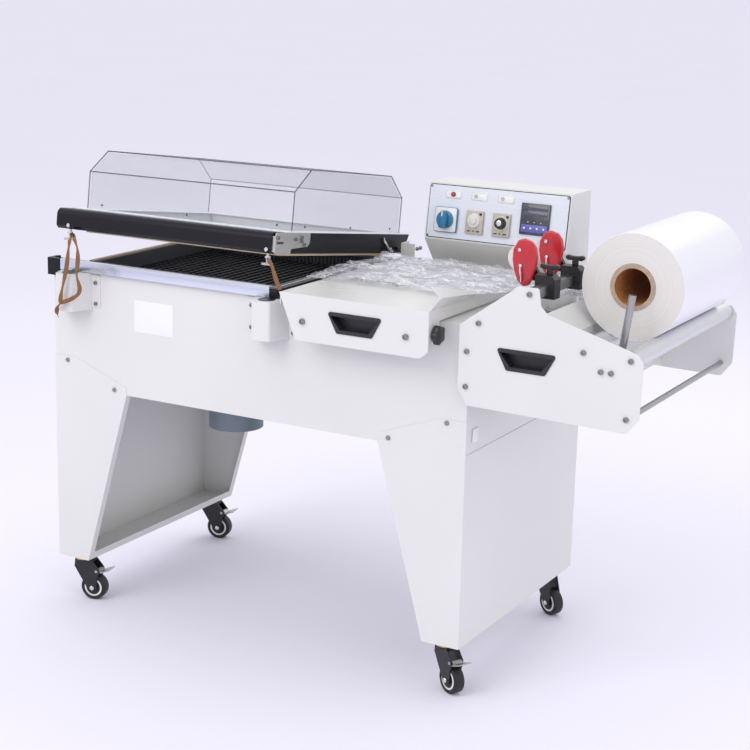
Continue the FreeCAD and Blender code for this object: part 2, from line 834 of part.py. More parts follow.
def build_magnets():
    brackets = []
    magnets = []
    for across in (s.left_magnet_across, s.right_magnet_across):
        body = new_body("MagnetBracket")
        face = s.bracket_face_width / 2
        root = s.bracket_root_width / 2
        back = s.plate * 0
        outline = [(across - face, s.bracket_front), (across + face, s.bracket_front),
                   (across + root, back), (across - root, back)]
        height = s.bracket_top - s.bracket_bottom
        prism(body, "XY", s.bracket_bottom, height, outline)
        round_edges(body, 7, edge_at("z", outline[0], outline[1]))
        flange = s.bracket_flange
        wide = rectangle(across - root - flange, back, across + root + flange, s.plate)
        prism(body, "XY", s.bracket_bottom + 6, height - 10, wide)
        wall = s.plate * 1.6
        inside = [(across - face + wall, s.bracket_front + wall),
                  (across + face - wall, s.bracket_front + wall),
                  (across + root - wall, s.plate), (across - root + wall, s.plate)]
        prism(body, "XY", s.bracket_bottom, height - wall, inside, cut=True)
        prism(body, "XY", s.bracket_top - wall, wall, None,
              [(across, s.magnet_front, s.magnet_radius + s.running_gap)], cut=True)
        brackets.append(body)
        depth = s.magnet_top - s.bracket_bottom - s.magnet_foot_gap
        magnets.append(rod("Magnet", (across, s.magnet_front, s.magnet_top - depth),
                           s.magnet_radius, depth))
    group("magnet_brackets", brackets)
    group("electromagnets", magnets)


# ---------------------------------------------------------------- lid hinge

def build_hinge():
    posts = []
    for left in (s.left_post_left, s.right_post_left):
        body = new_body("HingePost")
        near = s.hinge_back - s.post_depth / 2
        prism(body, "XY", s.deck_height, s.post_top - s.deck_height,
              rectangle(left, near, left + s.post_width, near + s.post_depth))
        wall = s.plate * 2
        prism(body, "XY", s.deck_height, s.post_top - s.deck_height,
              rectangle(left + wall, near + wall, left + s.post_width + wall,
                        near + s.post_depth + wall), cut=True)
        prism(body, "XY", s.deck_height, wall,
              rectangle(left, near, left + s.post_width, near + s.post_depth))
        prism(body, "YZ", left - wall, s.post_width + wall * 2, None,
              [(s.hinge_back, s.hinge_height, s.hinge_radius + s.running_gap)], cut=True)
        posts.append(body)
    group("hinge_posts", posts)
    reach = s.right_post_left + s.post_width - s.left_post_left
    shaft = rod("HingeShaft", (s.left_post_left - 4, s.hinge_back, s.hinge_height),
                s.hinge_radius, reach - 20, ALONG_X)
    group("hinge_shaft", [shaft])


# ---------------------------------------------------------------- lid, shut, from its hinge axis

def build_lid_front_bar():
    body = new_body("LidFrontBar")
    under = -s.lid_bar_under
    top = s.lid_bar_rise
    nose = -s.lid_nose
    profile = [(-s.lid_bar_back, under), (-s.lid_bar_back, top), (nose, top),
               (nose, under + s.nose_undercut), (nose + s.nose_undercut, under)]
    prism(body, "YZ", s.lid_bar_left, s.lid_bar_right - s.lid_bar_left, profile)
    round_edges(body, s.nose_radius, edge_at("x", (nose, top)))
    node(body, "lid_front_bar", LID)


def build_lid_right_bar():
    body = new_body("LidRightBar")
    near = s.jaw_right_end - s.right_jaw_width
    under = -s.lid_bar_under
    top = s.lid_bar_rise
    side = [(-s.lid_bar_back + s.butt_gap, under), (s.right_bar_tail, under),
            (s.right_bar_tail_top, top), (-s.lid_bar_back + s.butt_gap, top)]
    prism(body, "YZ", near, s.right_jaw_width, side)
    groove = rectangle(s.jaw_right_end - s.right_bar_step, under,
                       s.jaw_right_end + 1, under + s.right_bar_step_height)
    prism(body, "XZ", -s.lid_bar_back, s.lid_bar_back + s.right_bar_tail_top, groove, cut=True)
    prism(body, "YZ", near - 1, s.right_jaw_width + 2, None,
          [(s.plate * 0, s.plate * 0, s.hinge_radius + s.running_gap)], cut=True)
    node(body, "lid_right_bar", LID)


def build_lid_frame():
    """The bright ledge that the hood stands on, with its left and back skirts."""
    body = new_body("LidFrame")
    low = s.lid_bar_rise
    thick = s.ledge_thick
    outer = rectangle(s.ledge_left, -s.lid_bar_back - 8, s.jaw_right_end, s.ledge_back)
    prism(body, "XY", low, thick, outer)
    inner = rectangle(s.ledge_left + s.ledge_inner, -s.skirt_front + 40,
                      s.jaw_right_end - s.right_jaw_width, -s.skirt_back - 6)
    prism(body, "XY", low, thick, inner, cut=True)
    left = s.chamber_left - s.rim_flange + s.rim_gasket_width / 2
    drop = s.skirt_drop
    prism(body, "YZ", left, s.skirt_thick,
          rectangle(-s.skirt_front, -drop, -s.skirt_back, low))
    prism(body, "XZ", -s.skirt_back, s.skirt_thick,
          rectangle(left, -drop, s.jaw_right_end - s.right_jaw_width - 1, low))
    node(body, "lid_frame", LID)


def build_hood():
    """A clear hood with upright walls and a crown that slopes in at the front and back."""
    body = new_body("Hood")
    foot = s.lid_bar_rise + s.ledge_thick
    ridge = foot + s.hood_wall
    crown = foot + s.hood_height
    profile = [(-s.hood_front, foot), (-s.hood_rear * -1, foot), (-s.hood_rear * -1, ridge),
               (-s.hood_rear * -1 - s.hood_crown_inset, crown),
               (-s.hood_front + s.hood_crown_inset, crown), (-s.hood_front, ridge)]
    pad = prism(body, "YZ", s.hood_left, s.hood_right - s.hood_left, profile)
    names = [("Face%d" % index) for index, face in enumerate(pad.Shape.Faces, start=1)
             if face.BoundBox.ZMax < foot.value + 0.01]
    shell = body.newObject("PartDesign::Thickness", "Thickness")
    shell.Base = (pad, names)
    bind(shell, "Value", s.hood_thick)
    shell.Reversed = True
    shell.Join = 1
    doc.recompute()
    node(body, "hood", LID)


def build_lid_seals():
    under = -s.lid_bar_under - s.seal_thick
    wire_back = (s.jaw_front + s.jaw_back) / 2 - s.hinge_back
    near = wire_back + (s.seal_wire - s.seal_width) / 2
    across = s.jaw_right_end - s.right_jaw_width / 2 + (s.seal_wire - s.seal_width) / 2
    strips = [
        box("FrontSeal", (s.seal_left, near, under), across - s.seal_left,
            s.seal_width, s.seal_thick),
        box("RightSeal", (across, near, under), s.seal_width,
            -near - (s.hinge_back - s.right_jaw_back), s.seal_thick)]
    group("lid_seal_strips", strips, LID)


def build_lid_fittings():
    """Corner plate, hinge lug and the two armatures that the magnets hold down."""
    side = s.jaw_right_end
    top = s.lid_bar_rise
    under = -s.lid_bar_under
    corner = new_body("CornerPlate")
    front = -s.lid_nose + 4
    outline = [(front, under - 1), (front + 63, under - 1), (front + 65, under + 11),
               (front + 132, under + 16), (front + 141, under + 24), (front + 141, top),
               (front + 2, top)]
    prism(corner, "YZ", side, s.corner_plate, outline)
    round_edges(corner, 5, edge_at("x", outline[0], outline[1], outline[4], outline[6]))
    tab = rectangle(s.lid_bar_right, front, side + s.corner_plate, front + s.corner_plate)
    prism(corner, "XY", under + 4, top - under - 12, tab)

    lug = new_body("HingeLug")
    left = s.chamber_left - s.rim_flange + s.rim_gasket_width / 2 - s.lug_thick
    half = s.lug_width / 2
    shape = [(-half, under), (half, under), (s.ledge_back, top),
             (-s.ledge_back * 2, top)]
    prism(lug, "YZ", left, s.lug_thick, shape)
    prism(lug, "YZ", left - 1, s.lug_thick + 2, None,
          [(s.plate * 0, s.plate * 0, s.hinge_radius + s.running_gap)], cut=True)

    pieces = [corner, lug]
    low = s.magnet_top + s.magnet_air_gap - s.hinge_height
    back = s.magnet_front - s.hinge_back
    for across in (s.left_magnet_across, s.right_magnet_across):
        armature = new_body("Armature")
        prism(armature, "XY", low, s.armature_thick, None, [(across, back, s.armature_radius)])
        prism(armature, "XY", low, under - low, None,
              [(across, back, s.armature_stud_radius)])
        pieces.append(armature)
    group("lid_fittings", pieces, LID)


# ---------------------------------------------------------------- packing table

def handle_outline(left, bottom, inset):
    """A recessed handle's outline, wide at the top, inset all round."""
    middle = left + s.handle_top_width / 2
    top = s.handle_top_width / 2 - inset
    foot = s.handle_foot_width / 2 - inset
    return [(middle - foot, bottom + inset), (middle + foot, bottom + inset),
            (middle + top, bottom + s.handle_height - inset),
            (middle - top, bottom + s.handle_height - inset)]


def build_handle(label, left, bottom, face):
    """A moulded cup with a rim; face is where the sheet's outside lies."""
    body = new_body("Handle_" + label)
    rim = handle_outline(left, bottom, s.plate * 0)
    prism(body, "XZ", face - s.handle_lip, s.handle_lip, rim)
    round_edges(body, 5, edge_at("y", *rim))
    cup = handle_outline(left, bottom, s.handle_rim - s.handle_wall)
    prism(body, "XZ", face, s.handle_depth, cup)
    hollow = handle_outline(left, bottom, s.handle_rim)
    prism(body, "XZ", face - s.handle_lip, s.handle_lip + s.handle_depth - s.handle_wall,
          hollow, cut=True)
    node(body, label)


def build_table():
    deck = new_body("TableDeck")
    front = -s.table_front
    top = s.table_height
    low = top - s.table_sheet
    sheet_thick = s.table_sheet
    prism(deck, "XY", low, sheet_thick,
          rectangle(s.table_left, front, s.table_right, s.table_back))
    for near in (s.table_left, s.table_right - sheet_thick):
        prism(deck, "XY", top - s.table_skirt, s.table_skirt,
              rectangle(near, front, near + sheet_thick, s.table_back))
    tongue = s.table_right - sheet_thick
    prism(deck, "YZ", tongue, sheet_thick,
          rectangle(front, s.lock_knob_height - 14, front + 46, top))
    add_spreader(deck, front, top)
    node(deck, "table_deck")

    face = new_body("TableFace")
    outline = [(s.table_left - 2, top), (s.table_face_foot_left, s.table_face_bottom),
               (s.table_face_foot_right, s.table_face_bottom),
               (s.table_right, s.table_face_bottom + 16), (s.table_right, top)]
    prism(face, "XZ", front - s.plate, s.plate, outline)
    hole = handle_outline(s.table_handle_left, s.table_handle_bottom,
                          s.handle_rim - s.handle_wall - s.control_gap)
    prism(face, "XZ", front - s.plate, s.plate, hole, cut=True)
    round_edges(face, s.table_face_radius, edge_at("y", outline[2]))
    round_edges(face, 5, edge_at("y", outline[1], outline[3]))
    node(face, "table_face")
    build_handle("table_handle", s.table_handle_left, s.table_handle_bottom, front - s.plate)


def add_spreader(deck, front, top):
    """The bent wing that parts the two layers of film, high in front and low at the back."""
    thick = s.plate
    right = s.table_right
    near = new_sketch(deck, "XZ", front)
    tip = right + s.spreader_reach
    draw_outline(near, [
        (right - thick, top - thick), (right, top - thick), (tip, top + s.spreader_tip),
        (right + 3, top + s.spreader_height), (right + 3 - thick, top + s.spreader_height - thick),
        (tip - thick * 1.6, top + s.spreader_tip)])
    far = new_sketch(deck, "XZ", front + s.spreader_length)
    low_tip = right + s.spreader_reach / 3
    draw_outline(far, [
        (right - thick, top - thick), (right, top - thick), (low_tip, top + 6),
        (right + 3, top + 10), (right + 3 - thick, top + 10 - thick),
        (low_tip - thick * 1.6, top + 6)])
    loft = deck.newObject("PartDesign::AdditiveLoft", "SpreaderLoft")
    loft.Profile = near
    loft.Sections = [far]
    loft.Ruled = True
    doc.recompute()


def star_points(radius, depth, lobes=5):
    """Corners of a lobed knob as pairs of plain lengths."""
    points = []
    for step in range(lobes * 4):
        angle = 2 * math.pi * step / (lobes * 4)
        reach = radius if step % 4 in (0, 1) else radius - depth
        points.append((reach * math.cos(angle), reach * math.sin(angle)))
    return points


def build_lock_knob():
    body = new_body("LockKnob")
    sides = star_points(1.0, 0.17)
    outline = [(s.lock_knob_radius * across, s.lock_knob_radius * up) for across, up in sides]
    prism(body, "XY", s.slide_gap * 10, s.lock_knob_thick, outline)
    prism(body, "XY", s.slide_gap, s.slide_gap * 9 + 1, None,
          [(s.plate * 0, s.plate * 0, s.lock_knob_radius / 2)])
    node(body, "table_lock_knob",
         at(s.table_right, -s.lock_knob_back, s.lock_knob_height, ALONG_X))


def build_slide_guides():
    """Rails under the table and the bearing blocks of the film carriage."""
    top = s.table_height - s.table_sheet - s.slide_gap
    inner_left = s.table_left + s.table_sheet + s.slide_gap
    inner_right = s.table_right - s.table_sheet - s.slide_gap - s.rail_width
    pieces = []
    for near in (inner_left, inner_right):
        pieces.append(box("TableRail", (near, s.rail_front, s.deck_height), s.rail_width,
                          s.table_back - s.rail_front - 8, top - s.deck_height))
    side = s.body_length - s.plate
    for near in (s.slide_block_front, s.slide_block_back):
        block = new_body("SlideBlock")
        prism(block, "XZ", near, s.slide_block_depth,
              rectangle(side, s.slide_rod_lower - 18, side + s.slide_block_side,
                        s.slide_rod_upper + 18),
              [(s.slide_rod_across, s.slide_rod_lower, s.slide_rod_radius + s.running_gap),
               (s.slide_rod_across, s.slide_rod_upper, s.slide_rod_radius + s.running_gap)])
        pieces.append(block)
    group("slide_guides", pieces)


# ---------------------------------------------------------------- film carriage

def carriage_outline(left):
    shoulder = s.perforator_bar_across
    peak = s.perforator_bar_height + 15
    right = s.carriage_right
    foot = s.carriage_bottom
    return [(left, foot + 42), (left + 22, foot + 6), (right - 26, foot), (right - 2, foot + 32),
            (right, foot + 143), (right - 13, foot + 160), (shoulder + 40, foot + 214),
            (shoulder + 25, foot + 228), (shoulder + 19, peak), (shoulder - 24, peak - 1),
            (left, foot + 172)]


def build_carriage_plates():
    front = new_body("CarriageFront")
    outline = carriage_outline(s.carriage_left)
    prism(front, "XZ", -s.carriage_front, s.carriage_plate, outline)
    hole = handle_outline(s.carriage_handle_left, s.carriage_handle_bottom,
                          s.handle_rim - s.handle_wall - s.control_gap)
    prism(front, "XZ", -s.carriage_front, s.carriage_plate, hole, cut=True)
    round_edges(front, 10, edge_at("y", *[outline[index] for index in (2, 3, 4, 5)]))
    round_edges(front, 6, edge_at("y", *[outline[index] for index in (1, 6, 7, 8, 9)]))
    rear = new_body("CarriageRear")
    start = (s.carriage_rear_left - s.carriage_left)
    lift = start * (91.0 / 126.0)
    outline = carriage_outline(s.carriage_rear_left)
    outline[-1] = (s.carriage_rear_left, s.carriage_bottom + 172 + lift)
    prism(rear, "XZ", s.carriage_back - s.carriage_plate, s.carriage_plate, outline)
    round_edges(rear, 10, edge_at("y", *[outline[index] for index in (2, 3, 4, 5)]))
    cross = new_body("CrossSheet")
    bend = s.cross_sheet_across
    thick = s.plate
    inside = s.carriage_back - s.carriage_plate * 2 + s.carriage_front
    prism(cross, "XZ", -s.carriage_front + s.carriage_plate, inside, [
        (bend - 46, s.perforator_bar_height - 39), (bend, s.roller_height + 26),
        (bend, s.carriage_bottom + 14), (bend + thick, s.carriage_bottom + 14),
        (bend + thick, s.roller_height + 27), (bend - 45, s.perforator_bar_height - 37)])
    group("carriage_plates", [front, rear, cross])
    build_handle("carriage_handle", s.carriage_handle_left, s.carriage_handle_bottom,
                 -s.carriage_front)


def build_carriage_rods():
    near = -s.carriage_front + s.carriage_plate
    length = s.carriage_back - s.carriage_plate - near
    bar_half = s.perforator_bar_side / 2
    places = [
        (s.slide_rod_across, s.slide_rod_upper, s.slide_rod_radius),
        (s.slide_rod_across, s.slide_rod_lower, s.slide_rod_radius),
        (s.tie_rod_across, s.tie_rod_height, s.tie_rod_radius),
        (s.roller_inner_across, s.roller_height, s.roller_axle_radius),
        (s.roller_outer_across, s.roller_height, s.roller_axle_radius)]
    pieces = [rod("CarriageRod", (across, near, height), radius, length, ALONG_Y)
              for across, height, radius in places]
    pieces.append(box("PerforatorBar", (s.perforator_bar_across - bar_half, near,
                                        s.perforator_bar_height - bar_half),
                      s.perforator_bar_side, length, s.perforator_bar_side))
    lean = Rotation(Vector(0, 1, 0), s.stop_rod_lean.value)
    post = rod("StopRod", (s.stop_rod_across, s.stop_rod_front, s.stop_rod_height),
               s.stop_rod_radius, s.stop_rod_length, lean)
    foot = box("StopRodFoot", (s.stop_rod_across - 18, near, s.stop_rod_height - 8),
               36, s.stop_rod_front + s.stop_rod_radius + 4 - near, 12)
    stop = doc.addObject("Part::Fuse", "FilmStop")
    stop.Base = foot
    stop.Tool = post
    pieces.append(stop)
    group("carriage_rods", pieces)


def build_rollers():
    near = -s.carriage_front + s.carriage_plate + s.roller_end_gap
    length = s.carriage_back - s.carriage_plate - s.roller_end_gap - near
    bore = s.roller_axle_radius + s.running_gap
    for label, across in (("inner_roller", s.roller_inner_across),
                          ("outer_roller", s.roller_outer_across)):
        body = turned(label, [(bore, s.plate * 0), (s.roller_radius, s.plate * 0),
                              (s.roller_radius, length), (bore, length)])
        node(body, label, at(across, near, s.roller_height, ALONG_Y))


def build_film_roll():
    gap = number(s.roller_outer_across - s.roller_inner_across) / 2
    reach = number(s.film_radius + s.roller_radius + s.film_rest_gap)
    height = number(s.roller_height) + math.sqrt(reach ** 2 - gap ** 2)
    core = turned("FilmCore", [(s.core_inner_radius, -s.film_rest_gap * 4),
                               (s.core_outer_radius, -s.film_rest_gap * 4),
                               (s.core_outer_radius, s.film_width + s.film_rest_gap * 4),
                               (s.core_inner_radius, s.film_width + s.film_rest_gap * 4)])
    film = turned("Film", [(s.core_outer_radius, s.plate * 0), (s.film_radius, s.plate * 0),
                           (s.film_radius, s.film_width), (s.core_outer_radius, s.film_width)])
    group("film_roll", [core, film], at(roll_across, s.film_front, height, ALONG_Y))


# ---------------------------------------------------------------- perforators

def build_perforator(name, back):
    across = s.perforator_bar_across
    height = s.perforator_bar_height
    half = s.perforator_bar_side / 2
    fit = half + s.running_gap
    wall = s.clamp_wall
    near = back - s.clamp_depth / 2
    clamp = new_body("Clamp_" + name)
    outline = [(across - half - wall, height - half - 9), (across + half + wall,
                                                          height - half - 9),
               (across + half + wall, height + half + 10), (across + half + 4,
                                                           height + half + 18),
               (across - half - wall, height + half + 18)]
    prism(clamp, "XZ", near, s.clamp_depth, outline)
    prism(clamp, "XZ", near, s.clamp_depth,
          rectangle(across - fit, height - fit, across + fit, height + fit), cut=True)
    wheel_across = s.needle_wheel_across
    wheel_up = s.needle_wheel_height
    arm_near = back + 2
    arm = [(across - half - wall, height + half + 2), (across - half - wall,
                                                      height + half + 18),
           (wheel_across + 16, wheel_up + 8), (wheel_across - 8, wheel_up + 9),
           (wheel_across - 12, wheel_up - 10), (wheel_across + 12, height + half + 2)]
    prism(clamp, "XZ", arm_near, s.clamp_depth / 2 - 4, arm)
    disc = s.needle_wheel_thick
    disc_near = arm_near - s.control_gap * 2 - disc
    cover_near = disc_near - s.control_gap * 2 - s.cover_thick
    prism(clamp, "XZ", cover_near + s.cover_wall, arm_near - cover_near - s.cover_wall, None,
          [(wheel_across, wheel_up, s.needle_axle_radius)])
    node(clamp, "perforator_clamp_" + name)

    wheel = new_body("NeedleWheel_" + name)
    prism(wheel, "XZ", disc_near, disc, None,
          [(wheel_across, wheel_up, s.needle_wheel_radius),
           (wheel_across, wheel_up, s.needle_axle_radius + s.running_gap)])
    node(wheel, "needle_wheel_" + name)

    cover = new_body("Cover_" + name)
    shape = cover_shape(wheel_across + 11, wheel_up + 3, s.plate * 0)
    prism(cover, "XZ", cover_near, s.cover_thick, shape)
    round_edges(cover, 7, edge_at("y", *shape))
    hollow = cover_shape(wheel_across + 11, wheel_up + 3, s.cover_wall)
    prism(cover, "XZ", cover_near + s.cover_wall, s.cover_thick - s.cover_wall, hollow, cut=True)
    boss = s.needle_axle_radius + s.cover_wall
    prism(cover, "XZ", cover_near, s.cover_thick, None, [(wheel_across, wheel_up, boss)])
    prism(cover, "XZ", cover_near + s.cover_wall, s.cover_thick - s.cover_wall, None,
          [(wheel_across, wheel_up, s.needle_axle_radius)], cut=True)
    node(cover, "perforator_cover_" + name)

    knob = new_body("ClampKnob_" + name)
    zero = s.plate * 0
    low = s.slide_gap
    prism(knob, "XY", low, 16, None, [(zero, zero, 7)])
    span = s.clamp_knob_span / 2
    wing = [(-span, -s.clamp_wall / 2), (span, -s.clamp_wall / 2), (span, s.clamp_wall / 2),
            (-span, s.clamp_wall / 2)]
    prism(knob, "XY", low + 12, 10, wing)
    round_edges(knob, 4, edge_at("z", *wing))
    node(knob, "clamp_knob_" + name, at(across + 4, back, height + half + 18))


def cover_shape(across, up, inset):
    """An egg-shaped outline about the needle wheel, narrow at the bottom."""
    corners = []
    for turn, reach in ((100, 37), (62, 38), (28, 36), (-12, 31), (-48, 37), (-74, 56),
                        (-100, 59), (-124, 42), (-162, 30), (148, 29)):
        angle = math.radians(turn)
        length = inset * -1 + reach
        corners.append((across + length * math.cos(angle), up + length * math.sin(angle)))
    return corners


# ---------------------------------------------------------------- film web and ties

def build_film_web():
    """The loose film: flat over the table and rising to pass under the perforators."""
    body = new_body("FilmWeb")
    low = s.table_height + s.web_lift
    edge = s.table_right - 9
    prism(body, "XZ", s.web_front, s.web_back - s.web_front,
          rectangle(s.web_left, low, edge, low + s.web_thick))
    bridge = [(edge, low), (s.table_right + s.spreader_reach, low + s.web_rise * 0.8),
              (s.web_right, low + s.web_rise), (s.web_right, low + s.web_rise + s.web_thick),
              (s.table_right + s.spreader_reach, low + s.web_rise * 0.8 + s.web_thick),
              (edge, low + s.web_thick)]
    prism(body, "XZ", s.web_crossing, s.web_crossing, bridge)
    node(body, "film_web")


def ribbon(body, line):
    """A flat band of one width along a line of points, hanging in front of the machine."""
    half = s.tie_width.value / 2
    for (left, top), (right, bottom) in zip(line, line[1:]):
        run = math.hypot(right - left, bottom - top)
        aside = (half * (bottom - top) / run, half * (left - right) / run)
        corners = [(left - aside[0], top - aside[1]), (right - aside[0], bottom - aside[1]),
                   (right + aside[0], bottom + aside[1]), (left + aside[0], top + aside[1])]
        prism(body, "XZ", -s.tie_front, s.tie_thick, corners)


def build_ties():
    """Two cloth ties looped round the lid's studs."""
    swing = math.radians(s.lid_open.value)
    arm = (s.hinge_back - s.magnet_front).value
    drop = (s.hinge_height - s.magnet_top).value - 14
    stud_back = s.hinge_back.value - arm * math.cos(swing) - drop * math.sin(swing)
    stud_up = s.hinge_height.value + arm * math.sin(swing) - drop * math.cos(swing)
    bottom = s.leg_base * 0 + stud_up - 1
    pieces = []
    for across, shift in ((s.left_magnet_across, 38), (s.right_magnet_across, 28)):
        body = new_body("TieStrap")
        near = across.value + shift
        prism(body, "XY", bottom, s.tie_thick * 2, [
            (across - 5, stud_back - 3.6), (near - 6, -s.tie_front), (near + 6, -s.tie_front),
            (across + 5, stud_back - 3.6)])
        pieces.append(body)
    left = s.left_magnet_across.value
    loop = pieces[0]
    ribbon(loop, [(left + 34, stud_up), (left + 21, 834), (left + 7, 781), (left + 3, 752)])
    ribbon(loop, [(left + 42, stud_up), (left + 55, 851), (left + 50, 821), (left + 58, 787),
                  (left + 36, 766), (left + 3, 752)])
    ribbon(loop, [(left + 3, 754), (left - 8, 733), (left - 4, 714)])
    right = s.right_magnet_across.value
    ribbon(pieces[1], [(right + 28, stud_up), (right + 40, 872), (right + 46, 852)])
    group("tie_ribbons", pieces)


# ---------------------------------------------------------------- control box

def build_control_box():
    body = new_body("ControlBox")
    back = s.body_depth
    profile = [(s.box_foot_front - s.box_foot_lip, s.deck_height), (back, s.deck_height),
               (back, s.box_top), (s.box_top_front, s.box_top),
               (s.box_belly_front, s.box_belly_height), (s.box_foot_front, s.box_foot_height),
               (s.box_foot_front - s.box_foot_lip, s.box_foot_height)]
    prism(body, "YZ", s.box_left, s.body_length - s.box_left, profile)
    inset = s.box_wall + s.panel_margin
    low = s.box_belly_height + inset
    high = s.box_top - inset
    hollow = [(s.box_belly_front - 2, low), (s.box_belly_front + s.box_cavity, low),
              (s.box_belly_front + s.box_cavity, high), (s.box_belly_front - 2, high)]
    prism(body, "YZ", s.box_left + inset, s.body_length - s.box_left - inset * 2, hollow,
          cut=True)
    node(body, "control_box")

    height = (s.box_top - s.box_belly_height) / math.cos(math.radians(panel_lean))
    width = s.body_length - s.box_left
    margin = s.panel_margin
    panel = new_body("ControlPanel")
    prism(panel, "XZ", -s.panel_thick, s.panel_thick,
          rectangle(margin, margin, width - margin, height - margin))
    round_edges(panel, 5, edge_at("y", (margin, margin), (width - margin, margin),
                                  (width - margin, height - margin), (margin, height - margin)))
    node(panel, "control_panel", PANEL)


switch_across = s.switch_across
switch_up = s.switch_up
TIMERS = {"left": s.timer_left_across, "right": s.timer_right_across}


def regular_corners(radius, count):
    """Corners of a regular outline as pairs of plain lengths."""
    turns = [2 * math.pi * (step + 0.5) / count for step in range(count)]
    return [(radius * math.cos(turn), radius * math.sin(turn)) for turn in turns]


def build_instruments():
    face = -s.panel_thick
    pieces = []
    half = s.switch_plate / 2
    plate = new_body("SwitchPlate")
    outline = rectangle(switch_across - half, switch_up - half, switch_across + half,
                        switch_up + half)
    prism(plate, "XZ", face - s.switch_plate_thick, s.switch_plate_thick, outline)
    round_edges(plate, 5, edge_at("y", *outline))
    pieces.append(plate)
    for across in TIMERS.values():
        pieces.append(box("Timer", (across - s.timer_width / 2, face - s.timer_thick,
                                    switch_up - s.timer_height / 2),
                          s.timer_width, s.timer_thick, s.timer_height))
    side = s.controller_side
    pieces.append(box("Controller", (s.controller_across - side / 2, face - s.controller_thick,
                                 s.controller_up - side / 2),
                      side, s.controller_thick, side))
    group("panel_instruments", pieces, PANEL)

    knob = new_body("RotaryKnob")
    base = face - s.switch_plate_thick - s.control_gap
    prism(knob, "XZ", base - 6, 6, None, [(switch_across, switch_up, s.switch_plate / 2 - 6)])
    grip = rectangle(switch_across - 7, switch_up - 19, switch_across + 7, switch_up + 19)
    prism(knob, "XZ", base - 20, 15, grip)
    round_edges(knob, 5, edge_at("y", *grip))
    node(knob, "rotary_knob", PANEL)

    for name, across in TIMERS.items():
        dial = new_body("Dial_" + name)
        start = face - s.timer_thick - s.control_gap
        prism(dial, "XZ", start - 5, 5, None, [(across, switch_up + 4, 16)])
        grip = [(across + radius, switch_up + 4 + rise)
                for radius, rise in regular_corners(10.0, 12)]
        prism(dial, "XZ", start - 13, 9, grip)
        node(dial, "timer_dial_" + name, PANEL)


# ---------------------------------------------------------------- build, check and write

build_body_shell()
build_legs()
build_casters()
build_chamber_liner()
build_rim_gasket()
build_wire_grids()
build_fan()
build_lower_jaws()
build_magnets()
build_hinge()
build_lid_front_bar()
build_lid_right_bar()
build_lid_frame()
build_hood()
build_lid_seals()
build_lid_fittings()
build_table()
build_lock_knob()
build_slide_guides()
build_carriage_plates()
build_carriage_rods()
build_rollers()
build_film_roll()
build_perforator("front", s.front_perforator)
build_perforator("rear", s.rear_perforator)
build_film_web()
build_ties()
build_control_box()
build_instruments()
doc.recompute()

for thing in doc.Objects:
    if "Invalid" in thing.State or "Error" in thing.State:
        raise RuntimeError("%s (%s) is %s" % (thing.Label, thing.Name, thing.State))
os.makedirs("parts", exist_ok=True)
faulty = [piece.Label for piece in NODES if piece.Shape.isNull() or not piece.Shape.isValid()]
if faulty:
    raise RuntimeError("no valid shape: " + ", ".join(faulty))
for piece in NODES:
    piece.Shape.exportStep("parts/%s.step" % piece.Label)
print(len(NODES), "nodes written")
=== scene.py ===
"""Looks of an L bar sealer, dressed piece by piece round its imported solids."""
import math

import bpy
from bpy.props import FloatProperty, FloatVectorProperty, PointerProperty
from mathutils import Matrix, Vector, noise


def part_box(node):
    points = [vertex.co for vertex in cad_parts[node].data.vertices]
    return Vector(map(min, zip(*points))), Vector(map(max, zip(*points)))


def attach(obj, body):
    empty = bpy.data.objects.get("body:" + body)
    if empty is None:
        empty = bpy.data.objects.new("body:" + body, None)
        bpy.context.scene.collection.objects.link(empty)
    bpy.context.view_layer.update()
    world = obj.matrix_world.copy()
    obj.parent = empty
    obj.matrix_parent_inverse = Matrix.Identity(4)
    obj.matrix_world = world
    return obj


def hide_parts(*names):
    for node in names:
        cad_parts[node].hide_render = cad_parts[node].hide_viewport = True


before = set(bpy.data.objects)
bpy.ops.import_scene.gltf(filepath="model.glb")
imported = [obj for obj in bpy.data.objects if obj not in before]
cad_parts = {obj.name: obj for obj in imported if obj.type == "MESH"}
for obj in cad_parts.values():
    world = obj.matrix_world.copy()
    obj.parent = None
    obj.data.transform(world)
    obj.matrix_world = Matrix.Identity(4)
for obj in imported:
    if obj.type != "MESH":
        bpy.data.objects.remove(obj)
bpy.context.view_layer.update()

bl_info = {
    "name": "L Bar Sealer Looks",
    "version": (1, 0, 0),
    "blender": (4, 5, 0),
    "location": "View3D > Sidebar > Sealer",
    "description": "Builds the finishes and fine pieces of an L bar sealer",
    "category": "Object",
}

MM = 0.001
LEGS_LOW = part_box("legs")[0]
FACE_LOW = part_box("table_face")[0]
SHAFT_LOW, SHAFT_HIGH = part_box("hinge_shaft")
PLATES_LOW, PLATES_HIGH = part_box("carriage_plates")
ROLL_LOW, ROLL_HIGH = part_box("film_roll")
BOX_LOW, BOX_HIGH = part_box("control_box")
LID_OPEN = math.radians(7.62)
PANEL_LEAN = math.atan2(20, 130)
PANEL_HEIGHT = 131.5
MAGNETS_ACROSS = (70, 606)
TIMERS_ACROSS = (128, 196)
TIMER_UP = 51
BADGES_LEFT = (45, 112, 180)
BADGE_UP = 107


def machine(across, back, up):
    """A point given in millimetres from the left leg's outer front foot."""
    return Vector((LEGS_LOW.x + across * MM, LEGS_LOW.y + back * MM, up * MM))


def seat_at(point, turn=None):
    """A place at point, turned by turn when one is given."""
    return Matrix.Translation(point) @ (turn or Matrix.Identity(4))


